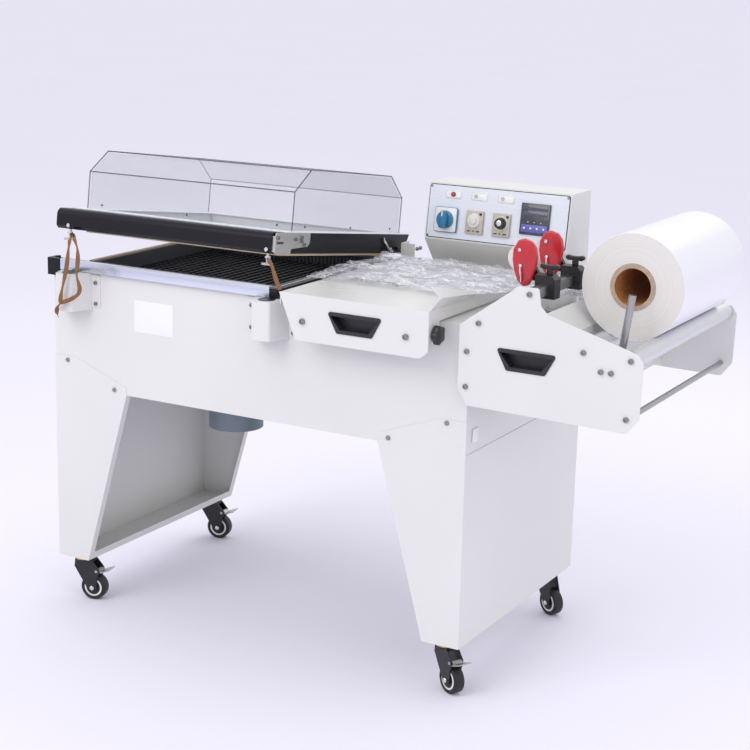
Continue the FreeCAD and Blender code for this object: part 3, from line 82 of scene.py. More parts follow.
HINGE = Vector((0, (SHAFT_LOW.y + SHAFT_HIGH.y) / 2, (SHAFT_LOW.z + SHAFT_HIGH.z) / 2))
LID = (Matrix.Translation(Vector((LEGS_LOW.x, HINGE.y, HINGE.z)))
       @ Matrix.Rotation(-LID_OPEN, 4, "X"))
PANEL = (Matrix.Translation(Vector((BOX_LOW.x, LEGS_LOW.y + 480 * MM, 897 * MM)))
         @ Matrix.Rotation(-PANEL_LEAN, 4, "X"))
FRONTWARD = Matrix.Rotation(math.radians(90), 4, "X")
BACKWARD = Matrix.Rotation(math.radians(-90), 4, "X")
RIGHTWARD = Matrix.Rotation(math.radians(90), 4, "Y")


# ---------------------------------------------------------------- finishes

class Finish:
    """Builds one node material that reads Object coordinates."""

    def __init__(self, name):
        self.material = bpy.data.materials.new(name)
        self.material.use_nodes = True
        self.nodes = self.material.node_tree.nodes
        self.links = self.material.node_tree.links
        self.shader = self.nodes["Principled BSDF"]
        self.place = self.nodes.new("ShaderNodeTexCoord").outputs["Object"]

    def set(self, **sockets):
        for name, value in sockets.items():
            self.shader.inputs[name.replace("_", " ")].default_value = value

    def stretched(self, scale):
        node = self.nodes.new("ShaderNodeMapping")
        node.inputs["Scale"].default_value = scale
        self.links.new(self.place, node.inputs["Vector"])
        return node.outputs["Vector"]

    def noise(self, scale, detail=3.0, source=None, roughness=0.5):
        node = self.nodes.new("ShaderNodeTexNoise")
        node.inputs["Scale"].default_value = scale
        node.inputs["Detail"].default_value = detail
        node.inputs["Roughness"].default_value = roughness
        self.links.new(source or self.place, node.inputs["Vector"])
        return node.outputs["Fac"]

    def ramp(self, value, stops):
        node = self.nodes.new("ShaderNodeValToRGB")
        while len(node.color_ramp.elements) < len(stops):
            node.color_ramp.elements.new(0.5)
        for element, (position, colour) in zip(node.color_ramp.elements, stops):
            element.position = position
            element.color = tuple(colour) + (1,) if len(colour) == 3 else colour
        self.links.new(value, node.inputs["Fac"])
        return node.outputs["Color"]

    def tint(self, value, low, high, base):
        """Base colour that varies a little between two brightnesses."""
        colours = [tuple(min(1, channel * factor) for channel in base) for factor in (low, high)]
        return self.ramp(value, [(0.3, colours[0]), (0.7, colours[1])])

    def between(self, value, low, high):
        node = self.nodes.new("ShaderNodeMapRange")
        node.inputs["To Min"].default_value = low
        node.inputs["To Max"].default_value = high
        self.links.new(value, node.inputs["Value"])
        return node.outputs["Result"]

    def math(self, operation, first, second=None):
        node = self.nodes.new("ShaderNodeMath")
        node.operation = operation
        for socket, value in zip(node.inputs, (first, second)):
            if value is None:
                continue
            if isinstance(value, (int, float)):
                socket.default_value = value
            else:
                self.links.new(value, socket)
        return node.outputs["Value"]

    def mix(self, factor, first, second):
        """Goes from the first colour to the second as factor goes from 0 to 1."""
        node = self.nodes.new("ShaderNodeMix")
        node.data_type = "RGBA"
        self.links.new(factor, node.inputs["Factor"])
        self.links.new(first, node.inputs["A"])
        self.links.new(second, node.inputs["B"])
        return node.outputs["Result"]

    def join(self, socket, value):
        self.links.new(value, self.shader.inputs[socket])

    def relief(self, value, strength, distance):
        node = self.nodes.new("ShaderNodeBump")
        node.inputs["Strength"].default_value = strength
        node.inputs["Distance"].default_value = distance
        self.links.new(value, node.inputs["Height"])
        self.links.new(node.outputs["Normal"], self.shader.inputs["Normal"])

    def axis(self, letter):
        node = self.nodes.new("ShaderNodeSeparateXYZ")
        self.links.new(self.place, node.inputs["Vector"])
        return node.outputs[letter]

    def radius_from(self, centre, flat):
        """Distance from an axis through centre; flat scales each direction, 0 along the axis."""
        shift = self.nodes.new("ShaderNodeVectorMath")
        shift.operation = "SUBTRACT"
        shift.inputs[1].default_value = centre
        self.links.new(self.place, shift.inputs[0])
        scale = self.nodes.new("ShaderNodeVectorMath")
        scale.operation = "MULTIPLY"
        scale.inputs[1].default_value = flat
        self.links.new(shift.outputs["Vector"], scale.inputs[0])
        length = self.nodes.new("ShaderNodeVectorMath")
        length.operation = "LENGTH"
        self.links.new(scale.outputs["Vector"], length.inputs[0])
        return length.outputs["Value"]


def painted(name, colour, roughness, grain=900.0):
    """Enamel or paint with a fine grain."""
    finish = Finish(name)
    finish.join("Base Color", finish.tint(finish.noise(2.2, 4), 0.965, 1.02, colour))
    finish.join("Roughness", finish.between(finish.noise(14.0, 5), roughness - 0.05,
                                            roughness + 0.07))
    finish.relief(finish.noise(grain, 2), 0.12, 0.00012)
    return finish.material


def brushed(name, colour, roughness, along, metallic=1.0, strength=0.1, gloss=0.5):
    """Metal with fine lines; along scales the grain, small in the direction it runs."""
    finish = Finish(name)
    finish.set(Metallic=metallic, Specular_IOR_Level=gloss)
    lines = finish.noise(1.0, 6, finish.stretched(along), 0.7)
    finish.join("Base Color", finish.tint(lines, 0.9, 1.05, colour))
    finish.join("Roughness", finish.between(lines, roughness - 0.07, roughness + 0.1))
    finish.relief(lines, strength, 0.0002)
    return finish.material


def moulded(name, colour, roughness, grain=1600.0, coat=0.0):
    """Moulded plastic or rubber; coat adds a clear gloss."""
    finish = Finish(name)
    finish.set(Coat_Weight=coat)
    finish.join("Base Color", finish.tint(finish.noise(26.0, 3), 0.92, 1.06, colour))
    finish.join("Roughness", finish.between(finish.noise(60.0, 3), roughness - 0.05,
                                            roughness + 0.06))
    finish.relief(finish.noise(grain, 1), 0.18, 0.0001)
    return finish.material


def clear_sheet(name, colour, thin, edge, roughness):
    """Clear plastic that thickens towards grazing angles."""
    finish = Finish(name)
    finish.set(IOR=1.49)
    finish.join("Base Color", finish.tint(finish.noise(7.0, 2), 0.97, 1.0, colour))
    finish.join("Roughness", finish.between(finish.noise(11.0, 4), roughness, roughness + 0.06))
    weight = finish.nodes.new("ShaderNodeLayerWeight")
    weight.inputs["Blend"].default_value = 0.35
    finish.join("Alpha", finish.between(weight.outputs["Facing"], thin, edge))
    return finish.material


def film_finish():
    """Wrinkled clear film: painted highlights along the creases between nearly clear patches."""
    finish = Finish("clear_film")
    finish.set(IOR=1.5)
    creases = finish.noise(15.0, 7, finish.stretched((1.0, 1.7, 1.0)), 0.6)
    # White lines along the creases, denser there too: painted highlights where the folds would
    # catch the light.
    painted_crease_highlights = finish.ramp(creases, [(0.36, (0.0, 0.0, 0.0)), (0.49, (0.12, 0.12, 0.12)),
                                   (0.53, (1.0, 1.0, 1.0)), (0.58, (0.16, 0.16, 0.16)),
                                   (0.70, (0.5, 0.5, 0.5))])
    finish.join("Base Color", finish.ramp(painted_crease_highlights, [(0.0, (0.72, 0.73, 0.80)),
                                                   (0.8, (0.97, 0.97, 1.0))]))
    finish.join("Alpha", finish.between(painted_crease_highlights, 0.16, 0.55))
    finish.join("Roughness", finish.between(finish.noise(9.0, 3), 0.08, 0.22))
    finish.relief(creases, 0.5, 0.006)
    return finish.material


def roll_finish():
    """White wound film, its ringed ends, and a brown paper core inside."""
    bore_radius, core_radius, end_radius = 0.0384, 0.0478, 0.1070
    finish = Finish("wound_film")
    radius = finish.radius_from((ROLL_LOW + ROLL_HIGH) / 2, (1, 0, 1))
    core = finish.math("LESS_THAN", radius, core_radius)
    rings = finish.noise(1.0, 4, finish.math("MULTIPLY", radius, 900.0))
    wound = finish.tint(rings, 0.8, 1.0, (0.82, 0.79, 0.755))
    skin = finish.tint(finish.noise(6.0, 3), 0.97, 1.0, (0.86, 0.86, 0.92))
    film = finish.mix(finish.math("LESS_THAN", radius, end_radius), skin, wound)
    fibre = finish.noise(90.0, 5)
    paper = finish.mix(finish.math("LESS_THAN", radius, bore_radius),
                       finish.tint(fibre, 0.8, 1.1, (0.47, 0.36, 0.27)),
                       finish.tint(fibre, 0.7, 1.15, (0.50, 0.22, 0.07)))
    finish.join("Base Color", finish.mix(core, film, paper))
    finish.join("Roughness", finish.between(core, 0.24, 0.8))
    finish.relief(rings, 0.15, 0.0003)
    return finish.material


def banded(name, letter, stops, roughness, metallic):
    """One finish whose colour changes with height or place; stops are in metres."""
    finish = Finish(name)
    finish.set(Metallic=metallic)
    low, high = stops[0][0], stops[-1][0]
    span = high - low
    value = finish.nodes.new("ShaderNodeMapRange")
    value.inputs["From Min"].default_value = low
    value.inputs["From Max"].default_value = high
    finish.links.new(finish.axis(letter), value.inputs["Value"])
    finish.join("Base Color", finish.ramp(value.outputs["Result"], [
        ((place - low) / span, colour) for place, colour in stops]))
    finish.join("Roughness", finish.between(finish.noise(160.0, 4), roughness - 0.08,
                                            roughness + 0.1))
    finish.relief(finish.noise(1200.0, 2), 0.1, 0.0001)
    return finish.material


def woven(name, colour):
    """Cloth with fine cross threads."""
    finish = Finish(name)
    wave = finish.nodes.new("ShaderNodeTexWave")
    wave.inputs["Scale"].default_value = 420.0
    wave.inputs["Distortion"].default_value = 1.5
    finish.links.new(finish.place, wave.inputs["Vector"])
    finish.join("Base Color", finish.tint(wave.outputs["Fac"], 0.72, 1.15, colour))
    finish.set(Roughness=0.85)
    finish.relief(wave.outputs["Fac"], 0.5, 0.0004)
    return finish.material


FINISHES = {}


def make_finishes(shades):
    """Every finish by the name that the pieces use."""
    cream = tuple(shades.cabinet)
    black = tuple(shades.bars)
    FINISHES.update({
        "cream": painted("cream_enamel", cream, 0.36),
        "table": painted("table_enamel", cream, 0.24),
        "bar": brushed("black_anodised_bar", black, 0.34, (6, 700, 700), 0.0, 0.06, 0.3),
        "bar_side": brushed("black_anodised_side", black, 0.4, (700, 6, 700), 0.0, 0.06, 0.3),
        "strip": brushed("bright_guard_strip", (0.70, 0.74, 0.84), 0.28, (5, 500, 260), 1.0),
        # The whole lid frame gets this pale bluish white: a painted highlight for the strong
        # light on its front ledge.
        "ledge": brushed("ledge_painted_highlight", (0.91, 0.94, 1.0), 0.34, (5, 400, 300), 0.05),
        "screw": brushed("screw_steel", (0.30, 0.30, 0.31), 0.26, (60, 60, 60), 1.0, 0.03),
        "plate": brushed("stainless_plate", (0.60, 0.60, 0.57), 0.34, (900, 30, 900)),
        "panel": brushed("panel_sheet", (0.76, 0.78, 0.86), 0.42, (12, 900, 900), 0.25, 0.06),
        "steel": brushed("turned_steel", (0.60, 0.60, 0.61), 0.24, (500, 30, 500)),
        "stop": brushed("ground_stop_rod", (0.42, 0.42, 0.43), 0.30, (300, 300, 40)),
        "zinc": brushed("zinc_plate", (0.50, 0.50, 0.48), 0.38, (260, 260, 260)),
        "chrome": brushed("chrome_plate", (0.74, 0.75, 0.76), 0.12, (90, 90, 90), 1.0, 0.02),
        "dark_steel": brushed("dark_disc", (0.10, 0.10, 0.11), 0.4, (300, 300, 300)),
        "liner": painted("dark_liner", (0.050, 0.053, 0.060), 0.5, 500.0),
        "wire": painted("black_wire", (0.016, 0.016, 0.018), 0.4, 700.0),
        "seal": moulded("cream_seal_strip", (0.66, 0.54, 0.38), 0.6),
        "gasket": moulded("tan_rim_gasket", (0.40, 0.31, 0.24), 0.75),
        "rubber_trim": moulded("black_gasket", (0.012, 0.012, 0.013), 0.6),
        "handle": moulded("black_handle", (0.016, 0.017, 0.022), 0.4, 1300.0),
        "knob": moulded("black_knob", (0.014, 0.014, 0.016), 0.35),
        "cast": painted("black_casting", (0.014, 0.014, 0.015), 0.42, 420.0),
        "fork": painted("black_fork", (0.012, 0.012, 0.013), 0.3, 600.0),
        "red": moulded("red_cover", tuple(shades.covers), 0.28, 1900.0, 0.4),
        "nylon": moulded("white_nylon", (0.78, 0.78, 0.77), 0.4),
        "beige": moulded("beige_case", (0.52, 0.49, 0.42), 0.45),
        "ivory": moulded("ivory_dial", (0.74, 0.72, 0.68), 0.4),
        "blue": moulded("blue_handle", (0.012, 0.17, 0.33), 0.3, 1800.0, 0.3),
        "controller": moulded("dark_controller", (0.045, 0.045, 0.065), 0.25, 1800.0, 0.5),
        "display": moulded("controller_window", (0.075, 0.075, 0.12), 0.12, 1800.0, 0.5),
        "keys": moulded("controller_keys", (0.12, 0.13, 0.46), 0.3),
        "label": painted("bare_label", (0.86, 0.86, 0.87), 0.3),
        "lamp": moulded("red_lamp", (0.50, 0.02, 0.02), 0.15, 1800.0, 0.6),
        "tyre": moulded("black_tyre", (0.010, 0.010, 0.011), 0.5, 700.0),
        "hub": moulded("slate_hub", (0.045, 0.055, 0.075), 0.4),
        "motor": painted("blue_grey_motor", (0.20, 0.25, 0.30), 0.42, 500.0),
        "roller": brushed("pale_roller", (0.70, 0.71, 0.73), 0.34, (900, 20, 900), 0.6),
        "tie": woven("brown_tie", (0.27, 0.125, 0.055)),
        "hood": clear_sheet("clear_hood_sheet", (0.60, 0.61, 0.68), 0.07, 0.42, 0.03),
        # Dark, half-clear lines along the hood's edges and folds: painted shade standing for the
        # refraction at the sheet edges.
        "hood_edge": clear_sheet("hood_edge_shade_lines", (0.07, 0.07, 0.11), 0.5, 0.85, 0.1),
        "film": film_finish(),
        "roll": roll_finish(),
        "caster_plate": banded("caster_plate_and_race", "Z", [
            (0.100, (0.72, 0.47, 0.12)), (0.1085, (0.72, 0.47, 0.12)),
            (0.1092, (0.012, 0.012, 0.013)), (0.113, (0.012, 0.012, 0.013))], 0.35, 0.6),
    })


NODE_FINISHES = {
    "body_shell": "cream", "legs": "cream", "caster_plates": "caster_plate",
    "chamber_liner": "liner", "wire_grids": "wire", "heater_tubes": "zinc",
    "rim_gasket": "gasket", "fan_motor": "motor", "fan_impeller": "zinc",
    "lower_jaws": "bar", "jaw_guard_strip": "strip", "seal_wires": "chrome",
    "magnet_brackets": "cream", "electromagnets": "dark_steel", "hinge_posts": "cream",
    "hinge_shaft": "steel", "slide_guides": "zinc", "control_box": "cream",
    "control_panel": "panel", "panel_instruments": "beige", "film_web": "film",
    # lid_frame takes the ledge finish, whose pale bluish white is a painted highlight.
    "lid_front_bar": "bar", "lid_right_bar": "bar_side", "lid_frame": "ledge", "hood": "hood",
    "lid_seal_strips": "seal", "lid_fittings": "plate", "tie_ribbons": "tie",
    "table_deck": "table", "table_face": "cream", "table_handle": "handle",
    "table_lock_knob": "knob", "carriage_plates": "cream", "carriage_handle": "handle",
    "carriage_rods": "stop", "outer_roller": "roller", "inner_roller": "roller",
    "film_roll": "roll", "rotary_knob": "blue", "timer_dial_left": "ivory",
    "timer_dial_right": "knob",
}
NODE_GROUPS = {
    "perforator_clamp_": "cast", "perforator_cover_": "red", "needle_wheel_": "nylon",
    "clamp_knob_": "knob", "fork_": "fork", "wheel_": "tyre", "brake_pedal_": "zinc",
}


def finish_solids():
    """Gives every solid its finish, by its own name or by its group's."""
    for name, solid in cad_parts.items():
        chosen = NODE_FINISHES.get(name)
        for prefix, group_finish in NODE_GROUPS.items():
            if name.startswith(prefix):
                chosen = group_finish
        solid.data.materials.clear()
        solid.data.materials.append(FINISHES[chosen])


# ---------------------------------------------------------------- modelling by operators

def clear_selection():
    """Leaves edit mode with nothing selected."""
    if bpy.context.object and bpy.context.object.mode != "OBJECT":
        bpy.ops.object.mode_set(mode="OBJECT")
    bpy.ops.object.select_all(action="DESELECT")


def only(piece):
    """Selects one piece and makes it active."""
    clear_selection()
    piece.select_set(True)
    bpy.context.view_layer.objects.active = piece


def settle(piece, place=None):
    """Moves a piece into its place and applies it, so its object stands at the origin."""
    if place is not None:
        piece.matrix_world = place @ piece.matrix_world
    only(piece)
    bpy.ops.object.transform_apply(location=True, rotation=True, scale=True)
    return piece


def bevelled(piece, size, segments=2):
    """Breaks the sharp edges of a piece; size 0 leaves them."""
    if size:
        edge = piece.modifiers.new("Bevel", "BEVEL")
        edge.width = size
        edge.segments = segments
        edge.limit_method = "ANGLE"
        edge.angle_limit = math.radians(30)
        only(piece)
        bpy.ops.object.modifier_apply(modifier=edge.name)
    return piece


def plate(outline, thick, edge=0.0004, segments=2):
    """A flat plate in the X-Z plane, grown from y = 0 by thick along Y."""
    clear_selection()
    bpy.ops.mesh.primitive_circle_add(vertices=len(outline), radius=1, fill_type="NGON")
    piece = bpy.context.object
    for vertex, (across, up) in zip(piece.data.vertices, outline):
        vertex.co = (across, 0, up)
    bpy.ops.object.mode_set(mode="EDIT")
    bpy.ops.mesh.select_all(action="SELECT")
    bpy.ops.mesh.extrude_region_move(TRANSFORM_OT_translate={"value": (0, thick, 0)})
    bpy.ops.mesh.select_all(action="SELECT")
    bpy.ops.mesh.normals_make_consistent(inside=False)
    bpy.ops.object.mode_set(mode="OBJECT")
    return bevelled(piece, edge, segments)


def rounded(left, low, right, high, radius, steps=4):
    """Corners of a rectangle with rounded ends, for plate."""
    centres = [(right - radius, high - radius), (left + radius, high - radius),
               (left + radius, low + radius), (right - radius, low + radius)]
    outline = []
    for corner, centre in enumerate(centres):
        for step in range(steps + 1):
            angle = math.radians(90 * corner + 90 * step / steps)
            outline.append((centre[0] + radius * math.cos(angle),
                            centre[1] + radius * math.sin(angle)))
    return outline


def in_metres(outline):
    """An outline given in millimetres, in metres."""
    return [(x * MM, z * MM) for x, z in outline]


def pick_faces(piece, test):
    """Selects the faces that test accepts by centre and normal, and enters edit mode."""
    only(piece)
    bpy.ops.object.mode_set(mode="EDIT")
    bpy.ops.mesh.select_mode(type="FACE")
    bpy.ops.mesh.select_all(action="DESELECT")
    bpy.ops.object.mode_set(mode="OBJECT")
    for face in piece.data.polygons:
        face.select = bool(test(face.center, face.normal))
    bpy.ops.object.mode_set(mode="EDIT")


def turned(radius, depth, top=(), bottom=(), sides=32, edge=0.0):
    """A round piece on the Z axis; top and bottom are (inset, push) steps on its end faces."""
    clear_selection()
    bpy.ops.mesh.primitive_cylinder_add(vertices=sides, radius=radius, depth=depth,
                                        location=(0, 0, depth / 2), end_fill_type="NGON")
    piece = bpy.context.object
    bpy.ops.object.transform_apply(location=True, rotation=True, scale=True)
    for sign, level, steps in ((1, depth, top), (-1, 0, bottom)):
        if not steps:
            continue
        pick_faces(piece, lambda centre, normal: normal.z * sign > 0.9
                   and abs(centre.z - level) < 1e-6)
        for inset, push in steps:
            if inset:
                bpy.ops.mesh.inset(thickness=inset, depth=push)
            else:
                bpy.ops.mesh.extrude_region_move(
                    TRANSFORM_OT_translate={"value": (0, 0, push * sign)})
        bpy.ops.object.mode_set(mode="OBJECT")
    return bevelled(piece, edge)


def joined(pieces):
    """Joins pieces into the first of them."""
    clear_selection()
    for piece in pieces:
        piece.select_set(True)
    bpy.context.view_layer.objects.active = pieces[0]
    if len(pieces) > 1:
        bpy.ops.object.join()
    return bpy.context.object


def repeated(piece, places):
    """Copies of one piece, each with its own mesh, joined as one group."""
    copies = []
    for place in places:
        only(piece)
        bpy.ops.object.duplicate(linked=False)
        copy = bpy.context.object
        copy.matrix_world = place @ copy.matrix_world
        copies.append(copy)
    bpy.data.objects.remove(piece)
    for copy in copies:
        settle(copy)
    return joined(copies)


def dressed(piece, name, body, finish, stands_for=(), angle=35):
    """Names a piece, finishes it and hands it to its body."""
    settle(piece)
    bpy.ops.object.shade_smooth_by_angle(angle=math.radians(angle))
    piece.name = name
    piece.data.name = name
    piece.data.materials.clear()
    piece.data.materials.append(FINISHES[finish])
    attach(piece, body)
    if stands_for:
        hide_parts(*stands_for)
    return piece


def tube_path(points, radius, name, cyclic=False, resolution=3):
    """A round wire along a path, made a mesh."""
    curve = bpy.data.curves.new(name, "CURVE")
    curve.dimensions = "3D"
    curve.bevel_depth = radius
    curve.bevel_resolution = resolution
    curve.use_fill_caps = True
    spline = curve.splines.new("POLY")
    spline.points.add(len(points) - 1)
    for point, place in zip(spline.points, points):
        point.co = (*place, 1)
    spline.use_cyclic_u = cyclic
    piece = bpy.data.objects.new(name, curve)
    bpy.context.collection.objects.link(piece)
    only(piece)
    bpy.ops.object.convert(target="MESH")
    return bpy.context.object


def screw_head(radius, height, hex_socket=False):
    """A pan head, or a socket head with its recess, on the Z axis."""
    if hex_socket:
        return turned(radius, height, [(radius * 0.45, 0), (0, -height * 0.55)], sides=20,
                      edge=radius * 0.08)
    piece = turned(radius, height * 0.55, [(radius * 0.3, height * 0.45)], sides=16)
    return bevelled(piece, radius * 0.12)


# ---------------------------------------------------------------- fasteners

def screws(head, places, name, body):
    """One row of like screws on a body."""
    dressed(repeated(head, places), name, body, "screw")


def add_fasteners():
    """The screws and bolts of the legs, brackets, table, carriage, posts and panel."""
    legs = [(38, 601), (174, 548), (898, 550), (1035, 604)]
    places = [seat_at(machine(across, -0.2, up), FRONTWARD) for across, up in legs]
    places += [seat_at(machine(across, 608.2, up), BACKWARD) for across, up in legs]
    screws(screw_head(5.2 * MM, 4 * MM), places, "leg_screws", "machine")

    places = [seat_at(machine(across + side, 0, up), FRONTWARD)
              for across in MAGNETS_ACROSS for side in (-54, 54) for up in (794, 745)]
    screws(screw_head(4.6 * MM, 3.6 * MM, True), places, "bracket_screws", "machine")

    face = (FACE_LOW.y - LEGS_LOW.y) / MM
    places = [seat_at(machine(across, face - 0.1, up), FRONTWARD)
              for across, up in ((720, 789), (966, 788))]
    screws(screw_head(6.5 * MM, 5 * MM, True), places, "table_face_bolts", "table")

    near = (PLATES_LOW.y - LEGS_LOW.y) / MM
    far = (PLATES_HIGH.y - LEGS_LOW.y) / MM
    rear_plate_left = 1093
    both_plates = [(1216, 898), (1084, 766), (1084, 693), (1335, 797), (1433, 793), (1430, 677)]
    front_only = [(1108, 827), (1373, 764), (1394, 764)]
    places = [seat_at(machine(across, near - 0.1, up), FRONTWARD)
              for across, up in both_plates + front_only]
    places += [seat_at(machine(max(across, rear_plate_left), far + 0.1, up), BACKWARD)
               for across, up in both_plates]
    screws(screw_head(5.6 * MM, 4.2 * MM, True), places, "carriage_bolts", "carriage")

    post_side = (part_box("hinge_posts")[1].x - LEGS_LOW.x) / MM
    places = [seat_at(machine(post_side - 0.1, back, up), RIGHTWARD)
              for back, up in ((522, 860), (538, 860), (522, 832), (538, 832))]
    screws(screw_head(4.6 * MM, 5 * MM, True), places, "hinge_post_bolts", "machine")

    corners = [(8, 8), (353, 8), (353, 123), (8, 123)]
    places = [PANEL @ seat_at(Vector((x * MM, -2.1 * MM, z * MM)), FRONTWARD) for x, z in corners]
    screws(screw_head(3.0 * MM, 2 * MM), places, "panel_screws", "machine")


# ---------------------------------------------------------------- control panel

def on_panel(piece, across, out, up):
    """Moves a front-facing Z-axis piece to its place on the panel."""
    place = PANEL @ seat_at(Vector((across * MM, -out * MM, up * MM)), FRONTWARD)
    return settle(piece, place)


def panel_plate(left, low, right, high, radius, out, thick, edge=0.0004):
    """A rounded plate on the panel, its face out millimetres from the panel's back."""
    piece = plate(in_metres(rounded(left, low, right, high, radius)), thick * MM, edge)
    return settle(piece, PANEL @ Matrix.Translation((0, -out * MM, 0)))


def add_switch_plates():
    """The panel's gasket and the two plates under the rotary switch."""
    width = (BOX_HIGH.x - BOX_LOW.x) / MM
    margin = 3.2
    gasket = panel_plate(margin, margin, width - margin, PANEL_HEIGHT - margin, 6, 0.9, 0.9,
                         0.0002)
    dressed(gasket, "panel_gasket", "machine", "rubber_trim")
    back = panel_plate(26, 19, 82, 75, 5, 9, 7, 0.0009)
    dressed(back, "switch_plate", "machine", "nylon")
    skirt = panel_plate(24.6, 17.6, 83.4, 76.4, 6, 7.6, 5.4, 0.0008)
    dressed(skirt, "switch_plate_rim", "machine", "blue")


def add_timer_faces():
    """The timers' cases, dial rings, dark marks and small lamps."""
    cases = [panel_plate(across - 22, 20, across + 22, 74, 1.5, 8, 6, 0.0008)
             for across in TIMERS_ACROSS]
    dressed(joined(cases), "timer_cases", "machine", "beige",
            ("panel_instruments",))
    rings = []
    for across in TIMERS_ACROSS:
        ring = turned(17.5 * MM, 0.5 * MM, [(3.0 * MM, 0), (0, -0.3 * MM)], sides=40)
        rings.append(on_panel(ring, across, 8.2, TIMER_UP))
    dressed(joined(rings), "timer_dial_rings", "machine", "ivory")
    marks = []
    for across in TIMERS_ACROSS:
        for left, right in ((-16, -8), (7, 16)):
            marks.append(panel_plate(across + left, 25.5, across + right, 28, 0.3, 8.4, 0.4, 0))
        marks.append(panel_plate(across + 12, 64, across + 18, 69.5, 0.3, 8.4, 0.4, 0))
    dressed(joined(marks), "timer_marks", "machine", "rubber_trim")
    lamps = [panel_plate(across - 3, 25.3, across + 2, 28.6, 0.8, 8.6, 0.6, 0)
             for across in TIMERS_ACROSS]
    dressed(joined(lamps), "timer_lamps", "machine", "lamp")


def add_controller():
    """The temperature controller's case, windows, key band and keys."""
    case = panel_plate(242, 32, 314, 104, 2, 6.5, 5, 0.0012)
    dressed(case, "controller_case", "machine", "controller")
    windows = [panel_plate(248, low, 308, low + 10.5, 1, 6.9, 0.6, 0.0002)
               for low in (88, 74.5)]
    dressed(joined(windows), "controller_windows", "machine", "display")
    band = panel_plate(246, 38, 310, 55, 1, 6.9, 0.6, 0.0002)
    dressed(band, "controller_key_band", "machine", "keys")
    buttons = []
    for index in range(4):
        button = turned(2.4 * MM, 1.0 * MM, [(0.5 * MM, 0.3 * MM)], sides=20)
        buttons.append(on_panel(button, 254 + 16 * index, 6.9, 47))
    for index in range(3):
        dot = turned(1.1 * MM, 0.6 * MM, [(0.3 * MM, 0.1 * MM)], sides=12)
        buttons.append(on_panel(dot, 262 + 16 * index, 6.5, 61))
    dressed(joined(buttons), "controller_keys", "machine", "label")


def add_badges():
    """The bare plates over the switch and timers, their lines and the pilot lamp."""
    badges = [panel_plate(left, 97, left + 42, 117, 4, 3, 1, 0.0003) for left in BADGES_LEFT]
    dressed(joined(badges), "panel_badges", "machine", "label")
    frames = []
    for left in BADGES_LEFT:
        outline = rounded(left + 1.6, 98.6, left + 40.4, 115.4, 3)
        points = [PANEL @ Vector((x * MM, -3.05 * MM, z * MM)) for x, z in outline]
        frames.append(tube_path(points, 0.35 * MM, "badge_line", True, 1))
    for across in (124, 192):
        ring = turned(5 * MM, 0.3 * MM, [(0.6 * MM, 0), (0, -0.2 * MM)], sides=24)
        frames.append(on_panel(ring, across, 3.05, BADGE_UP))
    dressed(joined(frames), "badge_lines", "machine", "zinc")
    lamp_ring = on_panel(turned(5.6 * MM, 1.6 * MM, [(1.3 * MM, 0), (0, -0.6 * MM)], sides=24),
                         66, 3, BADGE_UP)
    dressed(lamp_ring, "pilot_lamp_ring", "machine", "rubber_trim")
    lamp = on_panel(turned(4.2 * MM, 1.6 * MM, [(1.0 * MM, 0.7 * MM), (1.2 * MM, 0.3 * MM)],
                           sides=24), 66, 3, BADGE_UP)
    dressed(lamp, "pilot_lamp", "machine", "lamp")


def add_panel_knobs():
    """The rotary switch's handle and the two timer knobs."""
    handle = turned(21 * MM, 5 * MM, [(2 * MM, 0.8 * MM)], sides=48, edge=0.6 * MM)
    on_panel(handle, 54, 9.4, 47)
    grip = plate(in_metres((
        (-9, -17), (-4, -21), (4, -21), (9, -17), (11, -2), (9, 12), (4, 20), (-4, 20), (-9, 12),
        (-11, -2))), 17 * MM, 0.003, 4)
    settle(grip, PANEL @ Matrix.Translation((54 * MM, -29 * MM, 47 * MM)))
    dressed(joined([handle, grip]), "rotary_switch_handle", "rotary_knob", "blue",
            ("rotary_knob",))
    pointer = panel_plate(52.8, 54, 55.2, 66, 1, 29.3, 0.5, 0)
    dressed(pointer, "rotary_pointer", "rotary_knob", "label")

    left_across, right_across = TIMERS_ACROSS
    left = turned(15.5 * MM, 4.5 * MM, [(2.2 * MM, 1.2 * MM), (4.4 * MM, 0.2 * MM),
                                        (0.5 * MM, 3 * MM), (1.4 * MM, 0.8 * MM)], sides=48)
    on_panel(left, left_across, 8.4, TIMER_UP)
    dressed(left, "timer_knob_left", "timer_dial_left", "ivory",
            ("timer_dial_left",))
    right = turned(13.5 * MM, 5 * MM, [(1.6 * MM, 4 * MM), (0, 2 * MM), (1.4 * MM, 0.6 * MM)],
                   sides=24)
    on_panel(right, right_across, 8.4, TIMER_UP)
    dressed(right, "timer_knob_right", "timer_dial_right", "knob",
            ("timer_dial_right",))
    cap = on_panel(turned(6.6 * MM, 0.8 * MM, [(1 * MM, 0.3 * MM)], sides=32), right_across, 20,
                   TIMER_UP)
    dressed(cap, "timer_knob_cap", "timer_dial_right", "chrome")


# ---------------------------------------------------------------- casters

WHEEL_RADIUS = 31.5 * MM
WHEEL_WIDTH = 22 * MM
CASTER_TRAIL = 26 * MM
# Across and back of each swivel in millimetres, and its turn in degrees.
CASTERS = {
    "front_left": (47, 38, 12), "rear_left": (47, 570, 12),
    "front_right": (1033, 38, -28), "rear_right": (1033, 570, -28),
}


